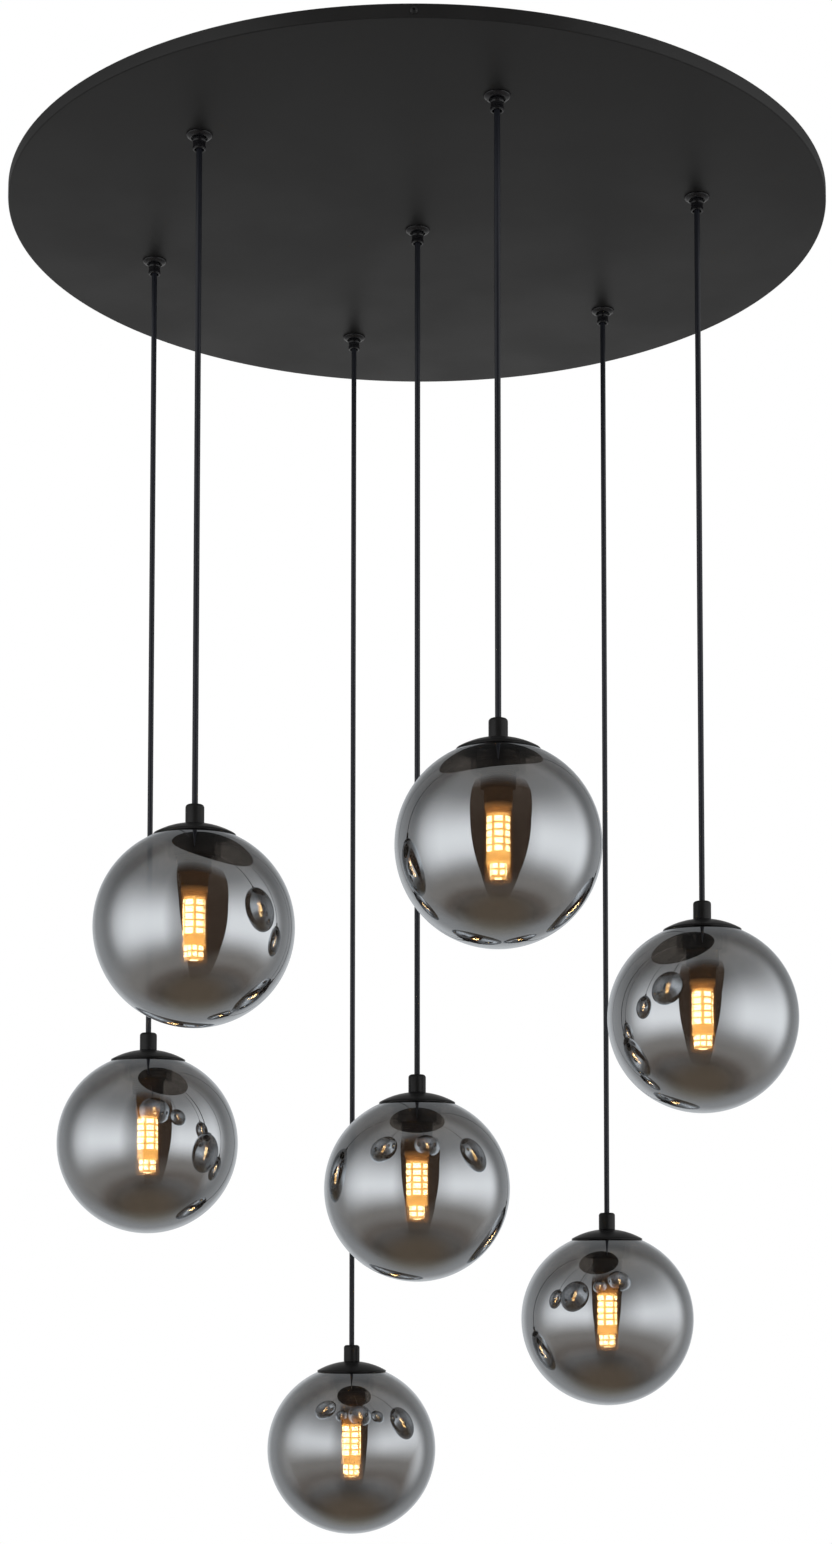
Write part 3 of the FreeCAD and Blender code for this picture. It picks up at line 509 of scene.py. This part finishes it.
def circle(middle, radius, height, count, turn=0.0):
    """Corners round a circle in metres. Its middle and radius are millimetres, its height metres."""
    angles = [turn + 2 * math.pi * k / count for k in range(count)]
    x, y = middle
    return [((x + radius * math.cos(a)) * MM, (y + radius * math.sin(a)) * MM, height) for a in angles]


def add_turned(mesh, outline, place, base, faces, index=0, turn=0.0):
    """Adds a closed outline of radius and height, turned about the upright line through place."""
    rings = []
    for radius, height in outline:
        z = (base + height) * MM
        tip = [(place[0] * MM, place[1] * MM, z)]
        corners = tip if radius < ON_AXIS else circle(place, radius, z, faces, turn)
        rings.append([mesh.verts.new(corner) for corner in corners])
    for n, ring in enumerate(rings):
        other = rings[(n + 1) % len(rings)]
        if len(ring) == 1 and len(other) == 1:
            continue
        for k in range(faces):
            j = (k + 1) % faces
            corners = [ring[k % len(ring)], ring[j % len(ring)], other[j % len(other)], other[k % len(other)]]
            face = mesh.faces.new(list(dict.fromkeys(corners)))
            face.material_index = index(n) if callable(index) else index


def add_box(mesh, centre, size, turn, round_by):
    """Adds a bevelled box, turned about its own upright axis."""
    made = bmesh.ops.create_cube(mesh, size=1.0)["verts"]
    for v in made:
        x, y, z = (c * s for c, s in zip(v.co, size))
        across = x * math.cos(turn) - y * math.sin(turn)
        along = x * math.sin(turn) + y * math.cos(turn)
        v.co = Vector((centre[0] + across, centre[1] + along, centre[2] + z)) * MM
    edges = {e for v in made for e in v.link_edges}
    bmesh.ops.bevel(mesh, geom=list(edges), offset=round_by * MM, segments=2, affect="EDGES", profile=0.5)


def mesh_data(name, mesh, materials):
    data = bpy.data.meshes.new(name)
    mesh.to_mesh(data)
    mesh.free()
    for mat in materials:
        data.materials.append(mat)
    return data


def new_object(name, data):
    made = bpy.data.objects.new(name, data)
    bpy.context.scene.collection.objects.link(made)
    return made


def piece(name, mesh, body, materials, replaces=(), sharp=40.0):
    """Makes the mesh an object with smooth faces and sharp edges, and has it ride on its body."""
    bmesh.ops.recalc_face_normals(mesh, faces=mesh.faces)
    data = mesh_data(name, mesh, materials)
    data.shade_smooth()
    data.set_sharp_from_angle(angle=math.radians(sharp))
    made = new_object(name, data)
    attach(made, body)
    if replaces:
        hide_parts(*replaces)


def ridged(crest, root, high, pitch, count):
    """A row of rounded ridges, going down from a height."""
    points = []
    for n in range(count):
        top = high - pitch * n
        points += [(root, top), (root, top - RIDGE_RISES * pitch)]
        points += [(crest, top - RIDGE_UP * pitch), (crest, top - RIDGE_FALLS * pitch)]
    return [*points, (root, high - pitch * count)]


def canopy():
    """The pan, with a rolled edge."""
    r, depth, edge, chamfer = CANOPY_RADIUS, CANOPY_DEPTH, CANOPY_EDGE, CANOPY_CHAMFER
    inner, inner_floor, corner = r - CANOPY_WALL, CANOPY_WALL - depth, CANOPY_CORNER
    outline = [(0.0, -depth), (r - edge, -depth)]
    outline += arc((r - edge, -depth + edge), outline[-1], (r, -depth + edge), steps=5)
    outline += [(r, -chamfer), (r - chamfer, 0.0)]
    inside_from = len(outline)
    outline += [(inner + chamfer, 0.0), (inner, -chamfer), (inner, inner_floor + corner)]
    turn = (inner - corner, inner_floor + corner)
    outline += arc(turn, outline[-1], (turn[0], inner_floor), steps=3)
    outline += [(0.0, inner_floor)]
    mesh = bmesh.new()
    add_turned(mesh, outline, (0, 0), 0, CANOPY_FACES, lambda k: 1 if k >= inside_from else 0)
    coats = [POWDER_COAT, INSIDE_COAT]
    piece("canopy_pan", mesh, "fixture", coats, ["canopy_disc"], sharp=30.0)


def glands():
    """The flanges with their stubs, and the necks that taper round the cords."""
    under = -CANOPY_DEPTH
    flange = [
        (GLAND_BORE, under + STUB_RISE),
        (STUB_RADIUS, under + STUB_RISE),
        (STUB_RADIUS, under),
        (FLANGE_RADIUS, under),
        (FLANGE_RADIUS, under - FLANGE_EDGE),
        (FLANGE_SHOULDER_RADIUS, under - FLANGE_SHOULDER_DEPTH),
        (FLANGE_SLOPE_RADIUS, under - FLANGE_SLOPE_DEPTH),
        (FLANGE_MOUTH_RADIUS, under - FLANGE_DEPTH),
        (CONE_RADIUS, under - CONE_DEPTH),
        (GLAND_BORE, under + CONE_RISE),
    ]
    neck = [
        (NECK_TOP_BORE, NECK_TOP),
        (NECK_RADIUS, NECK_TOP),
        (NECK_RADIUS, NECK_BAND_TOP + NECK_BAND_SLOPE),
        (NECK_BAND_RADIUS, NECK_BAND_TOP),
        (NECK_BAND_RADIUS, NECK_BAND_END),
        (NECK_WAIST_RADIUS, NECK_WAIST_TOP),
        (NECK_WAIST_RADIUS, NECK_WAIST_END),
        (NECK_RADIUS, NECK_RING_TOP),
        (NECK_RADIUS, NECK_RING_END),
        (NECK_END_RADIUS, NECK_END),
        (NECK_END_BORE, NECK_END),
        (NECK_THROAT_BORE, NECK_THROAT),
        (NECK_BELL_BORE, NECK_BELL),
    ]
    flanges, necks = bmesh.new(), bmesh.new()
    for place in PLACES:
        add_turned(flanges, softened(flange, FLANGE_ROUND), place, 0, SMALL_FACES)
        add_turned(necks, softened(neck, NECK_ROUND), place, 0, SMALL_FACES)
    piece("gland_flanges", flanges, "fixture", [GLOSS_BLACK], ["gland_bodies"])
    piece("gland_collars", necks, "fixture", [GLOSS_BLACK], ["gland_necks"])


def cord(n, place, globe):
    """The taut cord, from its pivot in the gland to the lampholder's inner floor."""
    top, end, reach = PIVOT, globe + HOLDER_FLOOR, CORD_REACH * CORD_RADIUS
    heights = [top, top - reach, end + reach, end]
    data = bpy.data.curves.new(f"cord_line_{n}", "CURVE")
    data.dimensions = "3D"
    line = data.splines.new("NURBS")
    line.points.add(len(heights) - 1)
    for point, height in zip(line.points, heights):
        point.co = (place[0] * MM, place[1] * MM, height * MM, 1.0)
    line.order_u = 3
    line.use_endpoint_u = True
    data.bevel_depth = CORD_RADIUS * MM
    data.bevel_resolution = 6
    data.use_fill_caps = True
    data.materials.append(SHEATH)
    made = new_object(f"cord_line_{n}", data)
    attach(made, f"pendant_{n}")
    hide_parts(f"cord_{n}")


def cord_grip(n, place, globe):
    """The grip on top of the cap, with its spigot through it."""
    high, foot, bore = CAP_TOP + GRIP_HEIGHT, CAP_INNER_TOP - SPIGOT_LENGTH, CORD_RADIUS + CORD_PLAY
    r, chamfer, mouth = GRIP_RADIUS, GRIP_FOOT_CHAMFER, GRIP_MOUTH_CHAMFER
    turn = (r - GRIP_ROUND, high - GRIP_ROUND)
    outline = [(bore, foot), (SPIGOT_RADIUS, foot), (SPIGOT_RADIUS, CAP_TOP), (r - chamfer, CAP_TOP)]
    outline += [(r, CAP_TOP + chamfer), (r, turn[1])]
    outline += arc(turn, outline[-1], (turn[0], high), steps=6)
    outline += [(bore + mouth, high), (bore, high - mouth)]
    mesh = bmesh.new()
    add_turned(mesh, outline, place, globe, SMALL_FACES)
    piece(f"grip_{n}", mesh, f"pendant_{n}", [SATIN_BLACK], [f"cord_grip_{n}"])


def dome_cap(n, place, globe):
    """The domed cap, which seats on the globe's shoulder."""
    r, inner = CAP_RADIUS, CAP_RADIUS - CAP_WALL
    outline = [
        (inner, CAP_FOOT + CAP_FOOT_SLOPE),
        (r - CAP_FOOT_INSET, CAP_FOOT),
        (r, CAP_FOOT + CAP_FOOT_CHAMFER),
        (r, CAP_BASE - CAP_SHOULDER),
        (r - CAP_SHOULDER, CAP_BASE + CAP_SHOULDER_RISE),
    ]
    outline += arc((0, DOME_MIDDLE), outline[-1], (GRIP_RADIUS, CAP_TOP), steps=14)
    outline += [(SPIGOT_RADIUS, CAP_TOP), (SPIGOT_RADIUS, CAP_INNER_TOP), (HOLDER_RADIUS, CAP_INNER_TOP)]
    far = (inner, DOME_MIDDLE + math.sqrt((DOME_RADIUS - CAP_WALL) ** 2 - inner**2))
    outline += arc((0, DOME_MIDDLE), outline[-1], far, steps=8)
    mesh = bmesh.new()
    add_turned(mesh, outline, place, globe, CAP_FACES)
    piece(f"dome_cap_{n}", mesh, f"pendant_{n}", [SATIN_BLACK], [f"cap_{n}"], sharp=50.0)


def lampholder(n, place, globe):
    """The threaded lampholder with its pale nose, and the ring nut on it."""
    top, thread_end = CAP_INNER_TOP, HOLDER_THREAD_END
    nose, end, chamfer = HOLDER_NOSE_RADIUS, HOLDER_NOSE_END, HOLDER_NOSE_CHAMFER
    turns = int((top - thread_end) / HOLDER_PITCH)
    outline = [(0.0, top), *ridged(HOLDER_RADIUS, HOLDER_ROOT, top, HOLDER_PITCH, turns)]
    outline += [(HOLDER_ROOT, thread_end)]
    nose_from = len(outline)
    outline += [(nose + HOLDER_STEP, thread_end - HOLDER_STEP_DROP), (nose, thread_end - HOLDER_NOSE_DROP)]
    outline += [(nose, end + chamfer), (nose - chamfer, end), (0.0, end)]
    mesh = bmesh.new()
    add_turned(mesh, outline, place, globe, LAMP_FACES, lambda k: 1 if k >= nose_from else 0)
    body, mats = f"pendant_{n}", [HOLDER_BROWN, CERAMIC]
    piece(f"holder_{n}", mesh, body, mats, [f"lampholder_{n}"])
    nut = [
        (NUT_BORE, NUT_TOP),
        *ridged(NUT_CREST, NUT_ROOT, NUT_TOP, NUT_PITCH, NUT_RIDGES),
        (NUT_ROOT, NUT_BAND_TOP + NUT_BAND_SLOPE),
        (NUT_CREST, NUT_BAND_TOP),
        (NUT_CREST, NUT_END + NUT_CHAMFER),
        (NUT_ROOT, NUT_END),
        (NUT_BORE, NUT_END),
    ]
    mesh = bmesh.new()
    add_turned(mesh, softened(nut, NUT_ROUND, steps=2), place, globe, LAMP_FACES)
    piece(f"holder_ring_{n}", mesh, body, [HOLDER_BROWN])


def beside(place, angle, out, along, height):
    """A point out from a pendant's middle at an angle, and along the face there."""
    x = place[0] + out * math.cos(angle) + along * math.sin(angle)
    y = place[1] + out * math.sin(angle) - along * math.cos(angle)
    return x, y, height


def lamp(n, place, globe):
    """The bulb: base and pins, core with rows of diodes, and the clear cover."""
    body = f"lamp_{n}"
    x, y = place
    turned = math.radians(LAMP_TURNS[n - 1])
    base = [(0.0, BASE_TOP), (BASE_RADIUS, BASE_TOP), (BASE_RADIUS, COVER_TOP)]
    base += [(BASE_SPIGOT_RADIUS, COVER_TOP), (BASE_SPIGOT_RADIUS, CORE_TOP), (0.0, CORE_TOP)]
    mesh = bmesh.new()
    add_turned(mesh, softened(base, BASE_ROUND), place, globe, LAMP_FACES)
    piece(f"lamp_base_painted_glow_{n}", mesh, body, [LAMP_BASE_PAINTED_GLOW], [f"bulb_{n}"])
    mesh = bmesh.new()
    for side in (-1, 1):
        add_box(mesh, (x + side * PIN_OUT, y, globe + PIN_HEIGHT), PIN_SIZE, 0.0, PIN_ROUND)
    piece(f"lamp_pins_{n}", mesh, body, [PIN_METAL])
    mesh = bmesh.new()
    add_turned(mesh, disc(CORE_RADIUS, CORE_TOP, CORE_END), place, globe, CORE_SIDES, turn=turned)
    plate = softened(disc(PLATE_RADIUS, CORE_END, PLATE_END), PLATE_ROUND)
    add_turned(mesh, plate, place, globe, SMALL_FACES)
    add_box(mesh, (x, y, globe + STEM_HEIGHT), STEM_SIZE, turned, STEM_ROUND)
    piece(f"lamp_core_{n}", mesh, body, [CORE_BOARD_PAINTED_GLOW])
    mesh = bmesh.new()
    out = CORE_RADIUS * math.cos(math.pi / CORE_SIDES) + CORE_DIODE[0] / 2
    for side in range(CORE_SIDES):
        angle = turned + math.pi / CORE_SIDES * (2 * side + 1)
        for row in range(CORE_ROWS):
            height = globe + CORE_ROW_TOP - CORE_ROW_PITCH * row
            add_box(mesh, beside(place, angle, out, 0.0, height), CORE_DIODE, angle, CORE_DIODE_ROUND)
    for side in range(STEM_SIDES):
        angle = turned + 2 * math.pi / STEM_SIDES * side
        for row in range(STEM_ROWS):
            height = globe + STEM_ROW_TOP - STEM_ROW_PITCH * row
            for column in STEM_COLUMNS:
                centre = beside(place, angle, STEM_DIODE_OUT, column, height)
                add_box(mesh, centre, STEM_DIODE, angle, STEM_DIODE_ROUND)
    add_box(mesh, (x, y, globe + END_DIODE_HEIGHT), END_DIODE, turned, STEM_DIODE_ROUND)
    piece(f"lamp_diodes_{n}", mesh, body, [DIODE])
    r, inner, end = COVER_RADIUS, COVER_RADIUS - COVER_WALL, COVER_END
    turn = (r - COVER_ROUND, end + COVER_ROUND)
    inner_turn = (inner - COVER_INNER_ROUND, end + COVER_WALL + COVER_INNER_ROUND)
    outline = [(inner, COVER_TOP), (r, COVER_TOP), (r, turn[1])]
    outline += arc(turn, outline[-1], (turn[0], end), steps=5)
    outline += [(0.0, end), (0.0, end + COVER_WALL), (inner_turn[0], end + COVER_WALL)]
    outline += arc(inner_turn, outline[-1], (inner, inner_turn[1]), steps=4)
    mesh = bmesh.new()
    add_turned(mesh, outline, place, globe, LAMP_FACES)
    piece(f"lamp_cover_{n}", mesh, body, [COVER_PAINTED_GLOW], sharp=60.0)


def globe_glass(n, place, globe):
    """The globe, whose mouth turns inwards to a collar."""
    inner = GLOBE_RADIUS - GLOBE_WALL
    mouth_r = COLLAR_BORE + MOUTH_ROUND
    mouth = (mouth_r, math.sqrt(GLOBE_RADIUS**2 - mouth_r**2))
    bore_top = (COLLAR_BORE, mouth[1] - MOUTH_ROUND)
    bead = (COLLAR_OUTSIDE - COLLAR_BORE) / 2
    bead_middle = (COLLAR_BORE + bead, mouth[1] - COLLAR_LENGTH + bead)
    bead_foot = (bead_middle[0], bead_middle[1] - bead)
    root = math.sqrt(inner**2 - COLLAR_OUTSIDE**2)
    fillet_r = COLLAR_OUTSIDE + FILLET_WIDTH
    turn_in = (fillet_r, math.sqrt(inner**2 - fillet_r**2))
    outline = [(0.0, -GLOBE_RADIUS)]
    outline += arc((0, 0), outline[-1], mouth, steps=110)
    outside_to = len(outline)
    outline += arc((mouth_r, bore_top[1]), mouth, bore_top, steps=6)
    outline += [(COLLAR_BORE, bead_middle[1])]
    outline += arc(bead_middle, outline[-1], bead_foot, steps=4)
    outline += arc(bead_middle, outline[-1], (COLLAR_OUTSIDE, bead_middle[1]), steps=4)
    outline += [(COLLAR_OUTSIDE, root - FILLET_DEPTH)]
    outline += [(COLLAR_OUTSIDE + FILLET_MIDDLE_OUT, root - FILLET_MIDDLE_DOWN), turn_in]
    outline += arc((0, 0), turn_in, (0.0, -inner), steps=100)
    mesh = bmesh.new()
    add_turned(mesh, outline, place, globe, GLOBE_FACES, lambda k: 0 if k < outside_to else 1)
    name, mats = f"globe_shell_{n}", [GLASS_OUTSIDE, GLASS_INSIDE]
    piece(name, mesh, f"glass_{n}", mats, [f"globe_{n}"], sharp=60.0)


def dress_nodes():
    """Materials for the CAD pieces that show as they are."""
    given = {
        "ceiling_bracket": ZINC,
        "rim_screws": SATIN_BLACK,
        "gland_nuts": ZINC,
        "live_leads": BROWN,
        "neutral_leads": BLUE,
        "earth_lead": earth_stripes(),
        "earth_stud": BRASS,
        "wire_connectors": levers_and_body(),
    }
    given.update({f"gland_ball_{n}": RUBBER for n, _, _ in PENDANTS})
    for name, mat in given.items():
        for slot in NODES[name].material_slots:
            slot.material = mat


# Studio, floor, light and camera

def studio():
    """A world that is white to the camera and through glass. What mirrors show is a studio: a pale
    backdrop behind the object and soft boxes at both sides of the camera."""
    world = bpy.data.worlds.new("studio")
    bpy.context.scene.world = world
    world.use_nodes = True
    tree = world.node_tree
    tree.nodes.clear()
    direction = parts_of(tree, where(tree, "Generated"))
    forward = math_node(tree, "MULTIPLY", direction["Y"], -1.0)
    turn = math_node(tree, "ARCTAN2", direction["X"], forward)
    turn = math_node(tree, "MULTIPLY_ADD", turn, 0.5 / math.pi, 0.5)
    rise = math_node(tree, "DIVIDE", math_node(tree, "ARCSINE", direction["Z"]), math.pi)
    rise = math_node(tree, "ADD", rise, 0.5)
    around = ramp(tree, turn, ROUND_LEVELS, "B_SPLINE")
    up_down = ramp(tree, rise, RISE_LEVELS, "B_SPLINE")
    boxes = mixed(tree, 1.0, around, up_down, blend="MULTIPLY")
    front = mixed(tree, ramp(tree, rise, POLE_SHARES), ramp(tree, rise, POLE_COLOURS), boxes)
    depth = math_node(tree, "MAXIMUM", direction["X"], 0.0)
    depth = math_node(tree, "MULTIPLY_ADD", depth, -BACKDROP_LEAN, direction["Y"])
    backdrop, tints = ramp(tree, depth, BACKDROP_LEVELS), ramp(tree, rise, BACKDROP_TINTS)
    back = mixed(tree, 1.0, backdrop, tints, blend="MULTIPLY")
    level = mixed(tree, ramp(tree, depth, BACKDROP_SHARES), front, back)
    seen = put(tree, "Background", {"Color": grey(1.0), "Strength": 1.0}).outputs[0]
    mirrored = put(tree, "Background", {"Color": level, "Strength": STUDIO_GLOW}).outputs[0]
    ambient = put(tree, "Background", {"Color": grey(1.0), "Strength": AMBIENT}).outputs[0]
    path = put(tree, "LightPath").outputs
    unseen = blended(tree, path["Is Glossy Ray"], ambient, mirrored)
    straight = math_node(tree, "MAXIMUM", path["Is Camera Ray"], path["Is Transmission Ray"])
    put(tree, "OutputWorld", {"Surface": blended(tree, straight, unseen, seen)})


def finish_fading(mat, tree, shade, fade):
    """A glow that gives way to nothing where fade is 1."""
    nothing = put(tree, "BsdfTransparent").outputs[0]
    return finish_material(mat, tree, blended(tree, fade, emission(tree, shade, STUDIO_GLOW), nothing))


def hide_from_view(name, mesh, mat):
    """Makes a part of the studio that only mirrors show."""
    made = new_object(name, mesh_data(name, mesh, [mat]))
    made.visible_camera = False
    made.visible_diffuse = False
    made.visible_transmission = False
    made.visible_volume_scatter = False
    made.visible_shadow = False


def gap():
    """The dark gap between the soft boxes, which fades out at both ends."""
    mat, tree = new_material("studio_gap")
    height = parts_of(tree, where(tree))["Z"]
    low = share(tree, height, GAP_LOW[0], GAP_FOOT[0])
    high = share(tree, height, GAP_HIGH[0], GAP_TOP[0])
    dark = mixed(tree, noise(tree, 2.0), GAP_DARK, GAP_LIGHT)
    shade = mixed(tree, low, dark, GAP_END)
    finish_fading(mat, tree, shade, math_node(tree, "MAXIMUM", low, high))
    mesh = bmesh.new()
    rows = (GAP_FOOT, GAP_LOW, GAP_MIDDLE, GAP_HIGH, GAP_TOP)
    made_rows = [[mesh.verts.new((x, GAP_FRONT, z)) for x in (left, right)] for z, left, right in rows]
    for below, above in zip(made_rows, made_rows[1:]):
        mesh.faces.new((below[0], below[1], above[1], above[0]))
    hide_from_view("studio_gap", mesh, mat)


def skirt():
    """The dark surround below the soft boxes, which fades out at its foot, upwards and to the back."""
    mat, tree = new_material("studio_skirt")
    place = parts_of(tree, where(tree))
    height = share(tree, place["Z"], SKIRT_FOOT, SKIRT_TOP)
    low = ramp(tree, height, [(0.0, 1.0), (SKIRT_LOW_FADE, 0.0)])
    high = ramp(tree, height, [(SKIRT_HIGH_FADE, 0.0), (1.0, 1.0)])
    back = share(tree, place["Y"], SKIRT_BACK, SKIRT_BACK_END)
    fade = math_node(tree, "MAXIMUM", math_node(tree, "MAXIMUM", high, low), back)
    finish_fading(mat, tree, ramp(tree, height, SKIRT_COLOURS), fade)
    mesh = bmesh.new()
    rings = [circle((0, 0), SKIRT_RADIUS / MM, z, SKIRT_FACES) for z in (SKIRT_FOOT, SKIRT_TOP)]
    foot, top = ([mesh.verts.new(corner) for corner in ring] for ring in rings)
    for k in range(SKIRT_FACES):
        j = (k + 1) % SKIRT_FACES
        mesh.faces.new((foot[k], foot[j], top[j], top[k]))
    hide_from_view("studio_skirt", mesh, mat)


def floor():
    """A pale floor that turns into the white surround before its edge."""
    mat, tree = new_material("studio_floor")
    colour = mixed(tree, noise(tree, 1.5), grey(0.84), grey(0.88))
    away = put(tree, "VectorMath", {0: where(tree)}, operation="LENGTH").outputs["Value"]
    edge = spread(tree, share(tree, away, FLOOR_NEAR, FLOOR_FAR), FLOOR_LEAST, 1.0)
    seen = put(tree, "LightPath").outputs["Is Camera Ray"]
    whiter = math_node(tree, "MULTIPLY", seen, edge)
    paint = solid(tree, {"Base Color": colour, "Roughness": 0.7})
    finish_material(mat, tree, blended(tree, whiter, paint, emission(tree, grey(1.0), 1.0)))
    mesh = bmesh.new()
    bmesh.ops.create_grid(mesh, x_segments=FLOOR_CELLS, y_segments=FLOOR_CELLS, size=FLOOR_HALF)
    made = new_object("floor", mesh_data("floor", mesh, [mat]))
    made.location.z = FLOOR_HEIGHT
    made.visible_glossy = False


def soft_box(name, at, towards, width, height, power):
    """A light that shows neither to the camera nor in mirrors, which have the studio's boxes."""
    data = bpy.data.lights.new(name, "AREA")
    data.shape, data.size, data.size_y, data.energy = "RECTANGLE", width, height, power
    made = new_object(name, data)
    made.location = at
    made.rotation_euler = (Vector(towards) - Vector(at)).to_track_quat("-Z", "Y").to_euler()
    made.visible_camera = False
    made.visible_glossy = False


def camera():
    data = bpy.data.cameras.new("camera")
    data.sensor_width, data.lens = CAMERA_SENSOR, CAMERA_LENS
    data.shift_x, data.shift_y = CAMERA_SHIFT
    made = new_object("camera", data)
    made.location = CAMERA_PLACE
    made.rotation_euler = (math.radians(90.0 + CAMERA_TILT), 0.0, 0.0)
    bpy.context.scene.camera = made


camera()
canopy()
glands()
for n, place, globe in PENDANTS:
    cord(n, place, globe)
    cord_grip(n, place, globe)
    dome_cap(n, place, globe)
    lampholder(n, place, globe)
    lamp(n, place, globe)
    globe_glass(n, place, globe)
dress_nodes()
studio()
gap()
skirt()
floor()
soft_box("left_box", at=(-2.6, -2.6, 0.6), towards=(0, 0, -0.5), width=1.4, height=2.2, power=60.0)
soft_box("right_box", at=(2.8, -2.2, 0.4), towards=(0, 0, -0.5), width=1.4, height=2.2, power=50.0)
soft_box("low_box", at=(0.0, -1.0, -2.3), towards=(0, 0, 0), width=1.6, height=1.2, power=12.0)
bpy.context.scene.view_settings.view_transform = "Standard"
bpy.context.scene.cycles.transparent_max_bounces = 32
